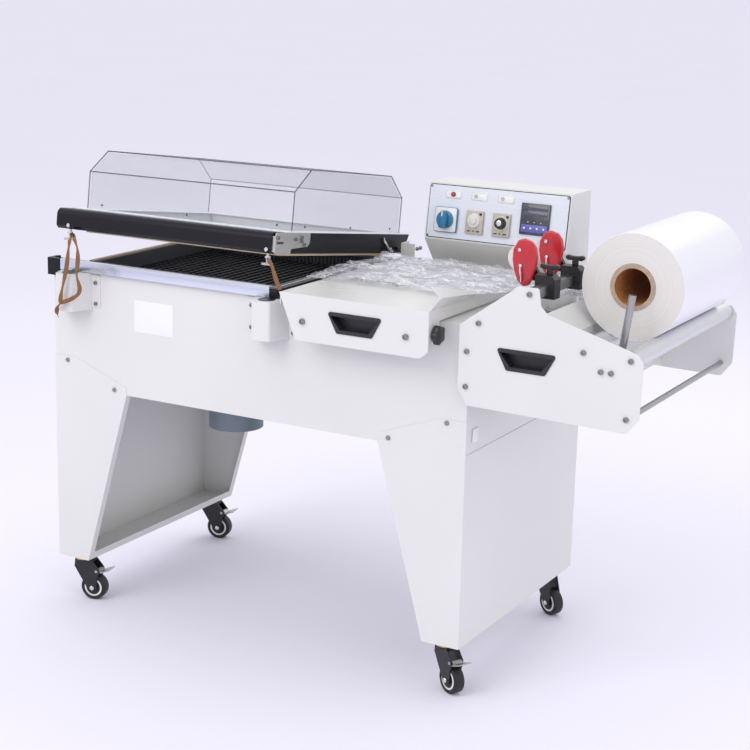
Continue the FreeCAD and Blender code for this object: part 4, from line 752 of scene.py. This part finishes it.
def add_wheels():
    """Each caster's tyre, its rings and hubs on both sides, and its axle nuts."""
    for name, (across, back, turn) in CASTERS.items():
        spin = Matrix.Rotation(math.radians(turn), 4, "Z")
        place = (seat_at(machine(across, back, 0), spin)
                 @ Matrix.Translation((CASTER_TRAIL, 0, WHEEL_RADIUS)))
        axle = place @ BACKWARD
        centre = Matrix.Translation((0, 0, -WHEEL_WIDTH / 2))
        steps = [(2.2 * MM, 1.2 * MM), (3.0 * MM, 0.4 * MM), (1.0 * MM, -1.6 * MM)]
        tyre = turned(WHEEL_RADIUS, WHEEL_WIDTH, steps, steps, sides=64, edge=1.2 * MM)
        dressed(settle(tyre, axle @ centre), "tyre_" + name, "wheel_" + name, "tyre",
                ("wheel_" + name,), 50)
        for sign, tag in ((1, "a"), (-1, "b")):
            face = axle @ Matrix.Rotation(0 if sign > 0 else math.pi, 4, "X")
            ring = turned(22.6 * MM, 11.6 * MM, [(1.4 * MM, 0.3 * MM), (2.6 * MM, 0),
                                                 (0, -3.0 * MM)], sides=48)
            dressed(settle(ring, face), "wheel_ring_%s_%s" % (name, tag), "wheel_" + name,
                    "nylon")
            hub = turned(18.4 * MM, 9.6 * MM, [(1.2 * MM, 0.8 * MM), (4.5 * MM, -2 * MM),
                                               (3.0 * MM, 0), (1.0 * MM, 2.6 * MM)], sides=40)
            dressed(settle(hub, face), "wheel_hub_%s_%s" % (name, tag), "wheel_" + name, "hub")
            nut = turned(6.2 * MM, 4.2 * MM, [(1.6 * MM, 1.2 * MM)], sides=6, edge=0.4 * MM)
            dressed(settle(nut, face @ Matrix.Translation((0, 0, 15.8 * MM))),
                    "axle_nut_%s_%s" % (name, tag), "caster_" + name, "chrome")


# ---------------------------------------------------------------- lid

def lid_line(points):
    """Points in millimetres across, back and up from the lid's hinge, in the machine's frame."""
    return [LID @ Vector((x * MM, v * MM, w * MM)) for x, v, w in points]


def add_hood_edges():
    """Dark lines painted along the clear hood's edges and folds as the shade refraction throws
    there, and the screws along its foot.
    """
    left, right = 49, 609
    foot, wall, crown = 40, 125, 174.6
    front, back, inset = -471, 20, 62
    screw_level = 50
    profile = [(front, foot), (front, wall), (front + inset, crown), (back - inset, crown),
               (back, wall), (back, foot)]
    lines = []
    for across in (left, right):
        lines.append(lid_line([(across, v, w) for v, w in profile]))
    for v, w in profile[1:-1]:
        lines.append(lid_line([(left, v, w), (right, v, w)]))
    # Dark tubes on the hood's edges and folds: painted shade for the refraction at the sheet
    # edges.
    wires = [tube_path(points, 1.5 * MM, "hood_edge", False, 1) for points in lines]
    dressed(joined(wires), "hood_edge_shade_lines", "lid", "hood_edge")
    places = [LID @ seat_at(Vector((across * MM, front * MM, screw_level * MM)), FRONTWARD)
              for across in (90, 330, 570)]
    places += [LID @ seat_at(Vector(((right + 1) * MM, v * MM, screw_level * MM)), RIGHTWARD)
               for v in (-420, -220, -30)]
    dressed(repeated(screw_head(2.6 * MM, 1.6 * MM), places), "hood_screws", "lid",
            "dark_steel")


def add_lid_fittings():
    """The corner plate's screws, a dark patch painted as the shade in its slot, the armatures'
    nuts, and the lever by the hinge.
    """
    side = 624
    places = [LID @ seat_at(Vector((side * MM, v * MM, w * MM)), RIGHTWARD)
              for v, w in ((-548, 27), (-477, 24), (-452, 28), (-440, 12), (-452, 20))]
    screws(screw_head(4.4 * MM, 3.2 * MM, True), places, "corner_plate_screws", "lid")
    # A dark plate laid where the corner plate's slot is: painted shade standing for the opening.
    slot = plate(in_metres(rounded(-12, -2.4, 12, 2.4, 2.3)), 1.0 * MM, 0.0003)
    turn = Matrix.Rotation(math.radians(90), 4, "Z")
    dressed(settle(slot, LID @ Matrix.Translation((0.6255, -0.538, 0.016)) @ turn),
            "corner_plate_slot_shade", "lid", "dark_steel")
    studs = []
    for across in MAGNETS_ACROSS:
        nut = turned(6.2 * MM, 5 * MM, [(1.8 * MM, 0.6 * MM), (0, 4 * MM)], sides=6,
                     edge=0.4 * MM)
        studs.append(settle(nut, LID @ Matrix.Translation((across * MM, -0.554, -0.0135))
                            @ Matrix.Rotation(math.pi, 4, "X")))
        tip = turned(4.6 * MM, 3 * MM, [(1.2 * MM, 1.2 * MM)], sides=16)
        studs.append(settle(tip, LID @ Matrix.Translation((across * MM, -0.5612, 0.0005))
                            @ FRONTWARD))
    dressed(joined(studs), "armature_nuts", "lid", "chrome")

    lever = tube_path(lid_line([(625, -82, 30), (626, -80, 20), (627, -66, 10), (627, -50, 2),
                                (627, -34, -3)]), 2.6 * MM, "lever", False, 3)
    arm = plate(in_metres(rounded(-18, -4, 18, 4, 3.8)), 2 * MM, 0.0004)
    turn = (Matrix.Rotation(math.radians(90), 4, "Z") @ Matrix.Rotation(math.radians(35), 4, "Y"))
    settle(arm, LID @ Matrix.Translation((0.6265, -0.066, 0.012)) @ turn)
    pin = turned(5 * MM, 7 * MM, [(1.2 * MM, 0.6 * MM)], sides=20)
    settle(pin, LID @ Matrix.Translation((0.6225, -0.05, 0.002)) @ RIGHTWARD)
    dressed(joined([lever, arm, pin]), "lid_lever", "lid", "chrome")


# ---------------------------------------------------------------- ties and film

def ribbon_strip(line, width, face=(0, 1, 0), twist=0.0):
    """A thin cloth band along a line of points, facing face and twisting on the way."""
    clear_selection()
    count = len(line) - 1
    steps = count * 4
    bpy.ops.mesh.primitive_grid_add(x_subdivisions=1, y_subdivisions=steps, size=1)
    piece = bpy.context.object
    points = []
    for step in range(steps + 1):
        place = step / 4
        index = min(int(place), count - 1)
        share = place - index
        before = line[max(index - 1, 0)]
        after = line[min(index + 2, count)]
        a, b = line[index], line[index + 1]
        points.append(0.5 * ((2 * a) + (b - before) * share
                             + (2 * before - 5 * a + 4 * b - after) * share ** 2
                             + (3 * a - before - 3 * b + after) * share ** 3))
    normal = Vector(face)
    for vertex in piece.data.vertices:
        step = round((vertex.co.y + 0.5) * steps)
        ahead = points[min(step + 1, steps)] - points[max(step - 1, 0)]
        side = ahead.cross(normal).normalized()
        turn = Matrix.Rotation(twist * math.sin(step * 0.7), 4, ahead.normalized())
        vertex.co = points[step] + (turn @ side) * (width / 2 if vertex.co.x > 0 else -width / 2)
    wall = piece.modifiers.new("Solidify", "SOLIDIFY")
    wall.thickness = 0.0006
    wall.offset = 0
    only(piece)
    bpy.ops.object.modifier_apply(modifier=wall.name)
    return piece


def path_length(line):
    """Length of a line of points."""
    return sum((b - a).length for a, b in zip(line, line[1:]))


def add_ties():
    """Cloth ties looped round the lid's studs, in front of the magnet brackets."""
    front = (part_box("tie_ribbons")[0].y - LEGS_LOW.y) / MM + 0.6
    strands = [
        [(70, -16, 899), (84, -38, 903), (100, front + 2, 897), (98, front, 876),
         (91, front, 834), (79, front, 790), (72, front, 760), (73, front, 751)],
        [(72, -16, 900), (92, -34, 905), (114, front + 2, 903), (124, front, 880),
         (124, front, 851), (120, front, 821), (128, front, 792), (122, front, 776),
         (104, front, 764), (88, front, 757), (73, front, 752)],
        [(73, front, 754), (64, front, 740), (60, front, 730), (66, front, 716)],
    ]
    pieces = []
    length = 0.0
    for index, strand in enumerate(strands):
        line = [machine(*point) for point in strand]
        length += path_length(line)
        pieces.append(ribbon_strip(line, 10 * MM, (0, 1, 0.1), 0.5 if index < 2 else 0.9))
    left = dressed(joined(pieces), "tie_left", "lid", "tie", ("tie_ribbons",), 60)
    line = [machine(*point) for point in (
        (606, -17, 899), (618, -40, 902), (636, front + 2, 908), (646, front, 892),
        (655, front, 868), (664, front, 850))]
    length = path_length(line)
    right = ribbon_strip(line, 10 * MM, (0, 1, 0.1), 0.25)
    dressed(right, "tie_right", "lid", "tie", (), 60)


def film_level(across, low, high):
    """The film's height where it lies, and how far it has come from the table, 0 to 1.

    The film climbs gently past the table's edge and follows the cross sheet past its bend.
    """
    table_edge = LEGS_LOW.x + 1008 * MM
    sheet_bend = LEGS_LOW.x + 1244 * MM
    climb, sheet_slope = 16 * MM, 0.83
    share = min(1.0, max(0.0, (across - table_edge) / (high.x - table_edge)))
    level = low.z + 0.5 * MM + climb * share * share * (3 - 2 * share)
    if across > sheet_bend:
        level -= sheet_slope * (across - sheet_bend) + 1 * MM
    return level, share


def add_film_web(settings):
    """Loose crumpled film from the jaw over the table and into the film carriage."""
    low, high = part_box("film_web")
    clear_selection()
    bpy.ops.mesh.primitive_grid_add(x_subdivisions=190, y_subdivisions=110, size=1)
    piece = bpy.context.object
    past_solid, narrowing = 90 * MM, 0.42
    left, right = low.x, high.x + past_solid
    front, back = low.y, high.y
    middle = LEGS_LOW.y + 300 * MM
    for vertex in piece.data.vertices:
        x = left + (vertex.co.x + 0.5) * (right - left)
        y = front + (vertex.co.y + 0.5) * (back - front)
        level, share = film_level(x, low, high)
        y = middle + (y - middle) * (1 - narrowing * min(1, share * 2.2))
        if vertex.co.y < -0.49:
            y += 20 * MM * noise.noise(Vector((x * 9, y * 9, 3.1)))
        if vertex.co.x < -0.49:
            x += 12 * MM * noise.noise(Vector((x * 9, y * 14, 1.7)))
        place = Vector((x * 14, y * 19, 0.4))
        fold = noise.fractal(place, 0.9, 2.1, 5)
        ridge = 1 - abs(noise.fractal(place * 2.2, 0.8, 2.3, 4))
        height = settings.film_lift * (0.45 + 0.5 * fold + 0.5 * (ridge - 0.6))
        vertex.co = (x, y, level + max(0.0, height) * (1 - 0.4 * share))
    wall = piece.modifiers.new("Solidify", "SOLIDIFY")
    wall.thickness = 0.25 * MM
    only(piece)
    bpy.ops.object.modifier_apply(modifier=wall.name)
    dressed(piece, "loose_film", "machine", "film", ("film_web",), 180)


# ---------------------------------------------------------------- perforators

COVER_OUTLINE = ((-15, 37), (0, 41), (17, 37), (29, 22), (33, 2), (29, -20), (23, -44),
                 (14, -60), (0, -63), (-14, -52), (-24, -28), (-28, -6), (-27, 16))
WING_OUTLINE = ((-20, -2), (-14, -5), (-6, -4), (6, -4), (14, -5), (20, -2), (20.5, 4),
                (15, 6.5), (7, 4.5), (-7, 4.5), (-15, 6.5), (-20.5, 4))
NEEDLE_ACROSS, NEEDLE_UP = 1155, 952


def add_perforators():
    """Each perforator's cover, screws, lever, winged knob and needle spindle."""
    for name in ("front", "rear"):
        low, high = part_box("perforator_cover_" + name)
        clamp_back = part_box("perforator_clamp_" + name)[1].y
        middle = (low.x + high.x) / 2
        body = "perforator_" + name
        outline = [(x * 0.88 * MM, z * 0.93 * MM) for x, z in COVER_OUTLINE]
        cover = plate(outline, high.y - low.y, 0.0035, 4)
        settle(cover, Matrix.Translation((middle, low.y, low.z + 58.5 * MM)))
        dressed(cover, "perforator_hood_" + name, body, "red",
                ("perforator_cover_" + name,), 60)
        heads = [Matrix.Translation((middle - 8 * MM, low.y - 0.1 * MM, low.z + 74 * MM)),
                 Matrix.Translation((middle - 5 * MM, low.y - 0.1 * MM, low.z + 42 * MM))]
        dressed(repeated(screw_head(3.6 * MM, 3 * MM, True),
                         [place @ FRONTWARD for place in heads]),
                "cover_screws_" + name, body, "chrome")
        start = Vector((middle - 5 * MM, low.y - 3.5 * MM, low.z + 42 * MM))
        lever = tube_path([start, start + Vector((0.001, -0.002, -0.010)),
                           start + Vector((0.004, -0.001, -0.022)),
                           start + Vector((0.003, 0.001, -0.032))], 1.7 * MM, "lever", False, 3)
        dressed(lever, "cover_lever_" + name, body, "chrome")
        knob_low, knob_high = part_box("clamp_knob_" + name)
        centre = (knob_low + knob_high) / 2
        stem = turned(6.8 * MM, 13 * MM, [(1.5 * MM, 1 * MM)], sides=28, edge=0.5 * MM)
        settle(stem, Matrix.Translation((centre.x, centre.y, knob_low.z)))
        wing = plate(in_metres(WING_OUTLINE), 11 * MM, 0.002, 3)
        settle(wing, Matrix.Translation((centre.x, centre.y - 5.5 * MM, knob_high.z - 6.6 * MM)))
        dressed(joined([stem, wing]), "wing_knob_" + name, "clamp_knob_" + name, "knob",
                ("clamp_knob_" + name,), 50)
        spindle = turned(5 * MM, 3 * MM, [(1.2 * MM, 0.8 * MM)], sides=20)
        settle(spindle, Matrix.Translation((LEGS_LOW.x + NEEDLE_ACROSS * MM,
                                            clamp_back - 6 * MM, NEEDLE_UP * MM)) @ BACKWARD)
        dressed(spindle, "needle_spindle_" + name, body, "chrome")


# ---------------------------------------------------------------- labels and small trim

def add_labels():
    """The bare labels on the housing's front and the right leg."""
    label = plate(in_metres(rounded(0, 0, 108, 74, 1.5)), 0.4 * MM, 0.0001)
    settle(label, Matrix.Translation(machine(232, 1.0, 693)))
    dressed(label, "bare_front_label", "machine", "label")
    sticker = plate(in_metres(rounded(0, 0, 26, 30, 1)), 0.4 * MM, 0.0001)
    turn = Matrix.Rotation(math.radians(90), 4, "Z")
    settle(sticker, Matrix.Translation(machine(1080.2, 30, 560)) @ turn)
    dressed(sticker, "bare_side_label", "machine", "label")


def add_lock_knob():
    """The table's five-lobed lock knob."""
    knob_low, knob_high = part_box("table_lock_knob")
    middle = (knob_low + knob_high) / 2
    corners, lobes = 40, 5
    outline = []
    for step in range(corners):
        angle = 2 * math.pi * step / corners
        reach = 19 + 1.7 * math.cos(lobes * angle)
        outline.append((reach * math.cos(angle) * MM, reach * math.sin(angle) * MM))
    star = plate(outline, 13.5 * MM, 0.0025, 3)
    turn = Matrix.Rotation(math.radians(-90), 4, "Z")
    settle(star, Matrix.Translation((knob_high.x - 13.6 * MM, middle.y, middle.z)) @ turn)
    hub = turned(10 * MM, 3.5 * MM, [(2 * MM, 0.2 * MM)], sides=24)
    settle(hub, Matrix.Translation((knob_low.x, middle.y, middle.z)) @ RIGHTWARD)
    dressed(joined([star, hub]), "lock_knob_star", "lock_knob", "knob",
            ("table_lock_knob",), 50)


def add_jaw_strip():
    """The bright strip folded over the front jaw."""
    sheet, lip = 0.0006, 0.011
    strip_low, strip_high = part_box("jaw_guard_strip")
    jaw_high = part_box("lower_jaws")[1]
    lift = jaw_high.z - strip_low.z + sheet
    fold = [(0, 0), (sheet, 0), (sheet, lift - sheet), (lip, lift - sheet), (lip, lift),
            (0, lift)]
    guard = plate(fold, strip_high.x - strip_low.x + 0.044, 0.0002)
    settle(guard, Matrix.Translation((strip_high.x, strip_high.y - sheet, strip_low.z))
           @ Matrix.Rotation(math.radians(90), 4, "Z"))
    dressed(guard, "jaw_strip_fold", "machine", "strip",
            ("jaw_guard_strip",))


def add_magnet_faces():
    """The ringed faces of the two electromagnets."""
    discs = []
    for across in MAGNETS_ACROSS:
        disc = turned(16.5 * MM, 1.2 * MM, [(2 * MM, 0), (0, -0.5 * MM), (3 * MM, 0),
                                            (0, 0.4 * MM)], sides=40)
        discs.append(settle(disc, Matrix.Translation(machine(across, -24, 815.6))))
    dressed(joined(discs), "magnet_faces", "machine", "dark_steel")


def add_roller_ends():
    """The bearings in both ends of the two rollers."""
    for name in ("inner_roller", "outer_roller"):
        low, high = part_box(name)
        centre = (low + high) / 2
        ends = []
        for level, turn in ((low.y, FRONTWARD), (high.y, BACKWARD)):
            cap = turned(17.5 * MM, 1.4 * MM, [(4 * MM, 0), (0, -0.8 * MM), (3 * MM, 0),
                                               (0, 0.6 * MM)], sides=36)
            ends.append(settle(cap, Matrix.Translation((centre.x, level, centre.z)) @ turn))
        dressed(joined(ends), name + "_bearings", name, "dark_steel")


# ---------------------------------------------------------------- stage

FLOOR_SIZE = 1600
SIGHT_LIMIT = 3000


def add_floor(settings):
    """A pale floor that runs out to the horizon."""
    bpy.ops.mesh.primitive_plane_add(size=FLOOR_SIZE, location=(0, 0, 0))
    floor = bpy.context.object
    floor.name = "floor"
    finish = Finish("pale_floor")
    finish.join("Base Color", finish.tint(finish.noise(0.8, 2), 0.995, 1.005,
                                          tuple(settings.floor_colour)))
    finish.set(Roughness=0.9, Specular_IOR_Level=0.0)
    floor.data.materials.append(finish.material)


def add_surroundings(settings):
    """Soft light all round, seen by the camera as a pale backdrop."""
    world = bpy.data.worlds.new("studio")
    bpy.context.scene.world = world
    world.use_nodes = True
    nodes, links = world.node_tree.nodes, world.node_tree.links
    soft = nodes["Background"]
    soft.inputs["Color"].default_value = (0.97, 0.97, 1.0, 1)
    soft.inputs["Strength"].default_value = settings.ambient
    seen = nodes.new("ShaderNodeBackground")
    seen.inputs["Color"].default_value = (0.87, 0.845, 0.99, 1)
    paths = nodes.new("ShaderNodeLightPath")
    mix = nodes.new("ShaderNodeMixShader")
    links.new(paths.outputs["Is Camera Ray"], mix.inputs["Fac"])
    links.new(soft.outputs["Background"], mix.inputs[1])
    links.new(seen.outputs["Background"], mix.inputs[2])
    links.new(mix.outputs["Shader"], nodes["World Output"].inputs["Surface"])


def add_lamps(settings):
    """Three softboxes, each aimed at the machine."""
    for name, place, target, size, power in (
            ("key_softbox", (-1.2, -3.4, 3.6), (0, 0, 0.7), 2.6, settings.key_power),
            ("fill_softbox", (3.6, -2.2, 2.2), (0.3, 0, 0.7), 2.4, settings.key_power * 0.28),
            ("back_softbox", (0.2, 2.8, 3.2), (0, 0, 0.8), 2.4, settings.key_power * 0.35)):
        light = bpy.data.lights.new(name, "AREA")
        light.size = size
        light.energy = power
        lamp = bpy.data.objects.new(name, light)
        bpy.context.collection.objects.link(lamp)
        lamp.location = place
        lamp.rotation_euler = (Vector(target) - Vector(place)).to_track_quat("-Z", "Y").to_euler()


def add_camera(settings):
    """The camera, by its place, turn, rise and roll."""
    turn = math.radians(settings.camera_turn)
    rise = math.radians(settings.camera_rise)
    roll = math.radians(settings.camera_roll)
    back = Vector((math.sin(turn) * math.cos(rise), -math.cos(turn) * math.cos(rise),
                   math.sin(rise)))
    right = (-back).cross(Vector((0, 0, 1))).normalized()
    up = right.cross(-back)
    right_rolled = right * math.cos(roll) + up * math.sin(roll)
    up_rolled = up * math.cos(roll) - right * math.sin(roll)
    lens = bpy.data.cameras.new("camera")
    lens.lens = settings.camera_lens
    lens.sensor_width = 36
    lens.clip_end = SIGHT_LIMIT
    camera = bpy.data.objects.new("camera", lens)
    bpy.context.collection.objects.link(camera)
    matrix = Matrix((right_rolled, up_rolled, back)).transposed().to_4x4()
    matrix.translation = Vector(settings.camera_place)
    camera.matrix_world = matrix
    bpy.context.scene.camera = camera
    bpy.context.scene.view_settings.view_transform = "Standard"


# ---------------------------------------------------------------- add-on

class SealerShades(bpy.types.PropertyGroup):
    """Main colours of the machine."""
    cabinet: FloatVectorProperty(name="Cabinet", description="Enamel of the sheet metal",
                                 subtype="COLOR", default=(0.74, 0.74, 0.725), min=0, max=1)
    bars: FloatVectorProperty(name="Bars", description="Anodised sealing bars",
                              subtype="COLOR", default=(0.0035, 0.0035, 0.0085), min=0, max=1)
    covers: FloatVectorProperty(name="Covers", description="Covers of the film perforators",
                                subtype="COLOR", default=(0.52, 0.012, 0.022), min=0, max=1)


class SealerForm(bpy.types.PropertyGroup):
    """Sizes of the soft pieces."""
    film_lift: FloatProperty(name="Film lift", description="Height of the loose film's folds",
                             subtype="DISTANCE", default=0.014, min=0, max=0.05)


class SealerStage(bpy.types.PropertyGroup):
    """Camera and light."""
    floor_colour: FloatVectorProperty(name="Floor", description="Colour of the floor",
                                      subtype="COLOR", default=(0.885, 0.86, 0.97), min=0, max=1)
    ambient: FloatProperty(name="Ambient", description="Strength of the light all round",
                           default=0.93, min=0)
    key_power: FloatProperty(name="Key power", description="Power of the main softbox in watts",
                             subtype="POWER", default=54, min=0)
    camera_turn: FloatProperty(name="Turn", description="Degrees right of straight ahead",
                               default=29.130)
    camera_rise: FloatProperty(name="Rise", description="Degrees above level", default=13.850)
    camera_roll: FloatProperty(name="Roll", description="Degrees of roll", default=1.423)
    camera_lens: FloatProperty(name="Lens", description="Focal length in millimetres",
                               default=79.944)
    camera_place: FloatVectorProperty(name="Place", description="Where the camera stands",
                                      subtype="TRANSLATION", default=(1.7776, -3.23675, 1.5181))


class SEALER_OT_finishes(bpy.types.Operator):
    """Make the finishes and give them to the solids"""
    bl_idname = "sealer.finishes"
    bl_label = "Finishes"
    bl_options = {"REGISTER", "UNDO"}

    def execute(self, context):
        clear_selection()
        make_finishes(context.scene.sealer_shades)
        finish_solids()
        return {"FINISHED"}


class SEALER_OT_stage(bpy.types.Operator):
    """Set the floor, the light and the camera"""
    bl_idname = "sealer.stage"
    bl_label = "Stage"
    bl_options = {"REGISTER", "UNDO"}

    def execute(self, context):
        clear_selection()
        add_floor(context.scene.sealer_stage)
        add_surroundings(context.scene.sealer_stage)
        add_lamps(context.scene.sealer_stage)
        add_camera(context.scene.sealer_stage)
        return {"FINISHED"}


class SEALER_OT_fasteners(bpy.types.Operator):
    """Add the visible screws and bolts"""
    bl_idname = "sealer.fasteners"
    bl_label = "Fasteners"
    bl_options = {"REGISTER", "UNDO"}

    def execute(self, context):
        clear_selection()
        add_fasteners()
        return {"FINISHED"}


class SEALER_OT_control_panel(bpy.types.Operator):
    """Add the instruments of the control panel"""
    bl_idname = "sealer.control_panel"
    bl_label = "Control Panel"
    bl_options = {"REGISTER", "UNDO"}

    def execute(self, context):
        clear_selection()
        add_switch_plates()
        add_timer_faces()
        add_controller()
        add_badges()
        add_panel_knobs()
        return {"FINISHED"}


class SEALER_OT_wheels(bpy.types.Operator):
    """Add tyres, rings, hubs and nuts to the casters"""
    bl_idname = "sealer.wheels"
    bl_label = "Caster Wheels"
    bl_options = {"REGISTER", "UNDO"}

    def execute(self, context):
        clear_selection()
        add_wheels()
        return {"FINISHED"}


class SEALER_OT_hood(bpy.types.Operator):
    """Add the painted shade lines on the clear hood's edges, and its screws"""
    bl_idname = "sealer.hood"
    bl_label = "Hood Edges"
    bl_options = {"REGISTER", "UNDO"}

    def execute(self, context):
        clear_selection()
        add_hood_edges()
        return {"FINISHED"}


class SEALER_OT_lid(bpy.types.Operator):
    """Add the lid's corner screws, studs and lever"""
    bl_idname = "sealer.lid"
    bl_label = "Lid Fittings"
    bl_options = {"REGISTER", "UNDO"}

    def execute(self, context):
        clear_selection()
        add_lid_fittings()
        return {"FINISHED"}


class SEALER_OT_ties(bpy.types.Operator):
    """Hang the cloth ties from the lid"""
    bl_idname = "sealer.ties"
    bl_label = "Ties"
    bl_options = {"REGISTER", "UNDO"}

    def execute(self, context):
        clear_selection()
        add_ties()
        return {"FINISHED"}


class SEALER_OT_film(bpy.types.Operator):
    """Lay the loose film over the table and into the carriage"""
    bl_idname = "sealer.film"
    bl_label = "Loose Film"
    bl_options = {"REGISTER", "UNDO"}

    def execute(self, context):
        clear_selection()
        add_film_web(context.scene.sealer_form)
        return {"FINISHED"}


class SEALER_OT_perforators(bpy.types.Operator):
    """Add the covers, levers and knobs of the perforators"""
    bl_idname = "sealer.perforators"
    bl_label = "Perforators"
    bl_options = {"REGISTER", "UNDO"}

    def execute(self, context):
        clear_selection()
        add_perforators()
        return {"FINISHED"}


class SEALER_OT_labels(bpy.types.Operator):
    """Add the bare labels"""
    bl_idname = "sealer.labels"
    bl_label = "Labels"
    bl_options = {"REGISTER", "UNDO"}

    def execute(self, context):
        clear_selection()
        add_labels()
        return {"FINISHED"}


class SEALER_OT_lock_knob(bpy.types.Operator):
    """Add the lobes and hub of the table's lock knob"""
    bl_idname = "sealer.lock_knob"
    bl_label = "Lock Knob"
    bl_options = {"REGISTER", "UNDO"}

    def execute(self, context):
        clear_selection()
        add_lock_knob()
        return {"FINISHED"}


class SEALER_OT_jaw_strip(bpy.types.Operator):
    """Fold the bright strip over the front jaw"""
    bl_idname = "sealer.jaw_strip"
    bl_label = "Jaw Strip"
    bl_options = {"REGISTER", "UNDO"}

    def execute(self, context):
        clear_selection()
        add_jaw_strip()
        return {"FINISHED"}


class SEALER_OT_magnets(bpy.types.Operator):
    """Add the faces of the electromagnets"""
    bl_idname = "sealer.magnets"
    bl_label = "Magnet Faces"
    bl_options = {"REGISTER", "UNDO"}

    def execute(self, context):
        clear_selection()
        add_magnet_faces()
        return {"FINISHED"}


class SEALER_OT_roller_ends(bpy.types.Operator):
    """Add the bearings of the rollers"""
    bl_idname = "sealer.roller_ends"
    bl_label = "Roller Ends"
    bl_options = {"REGISTER", "UNDO"}

    def execute(self, context):
        clear_selection()
        add_roller_ends()
        return {"FINISHED"}


class SEALER_PT_sidebar(bpy.types.Panel):
    """Lists the sealer's steps"""
    bl_label = "L Bar Sealer"
    bl_idname = "SEALER_PT_sidebar"
    bl_space_type = "VIEW_3D"
    bl_region_type = "UI"
    bl_category = "Sealer"

    def draw(self, context):
        for settings in (context.scene.sealer_shades, context.scene.sealer_form,
                         context.scene.sealer_stage):
            for name in settings.__annotations__:
                self.layout.prop(settings, name)
        for step in STEPS:
            self.layout.operator(step.bl_idname)


STEPS = (
    SEALER_OT_finishes,
    SEALER_OT_stage,
    SEALER_OT_fasteners,
    SEALER_OT_control_panel,
    SEALER_OT_wheels,
    SEALER_OT_hood,
    SEALER_OT_lid,
    SEALER_OT_ties,
    SEALER_OT_film,
    SEALER_OT_perforators,
    SEALER_OT_labels,
    SEALER_OT_lock_knob,
    SEALER_OT_jaw_strip,
    SEALER_OT_magnets,
    SEALER_OT_roller_ends,
)
CLASSES = (SealerShades, SealerForm, SealerStage) + STEPS + (SEALER_PT_sidebar,)


def register():
    """Registers the classes and gives the scene their settings."""
    for item in CLASSES:
        bpy.utils.register_class(item)
    bpy.types.Scene.sealer_shades = PointerProperty(type=SealerShades)
    bpy.types.Scene.sealer_form = PointerProperty(type=SealerForm)
    bpy.types.Scene.sealer_stage = PointerProperty(type=SealerStage)


def unregister():
    """Takes away what register added."""
    del bpy.types.Scene.sealer_stage
    del bpy.types.Scene.sealer_form
    del bpy.types.Scene.sealer_shades
    for item in reversed(CLASSES):
        bpy.utils.unregister_class(item)


def main():
    """Builds the sealer's looks in order."""
    register()
    bpy.ops.sealer.finishes()
    bpy.ops.sealer.stage()
    bpy.ops.sealer.fasteners()
    bpy.ops.sealer.control_panel()
    bpy.ops.sealer.wheels()
    bpy.ops.sealer.hood()
    bpy.ops.sealer.lid()
    bpy.ops.sealer.ties()
    bpy.ops.sealer.film()
    bpy.ops.sealer.perforators()
    bpy.ops.sealer.labels()
    bpy.ops.sealer.lock_knob()
    bpy.ops.sealer.jaw_strip()
    bpy.ops.sealer.magnets()
    bpy.ops.sealer.roller_ends()


if __name__ == "__main__":
    main()
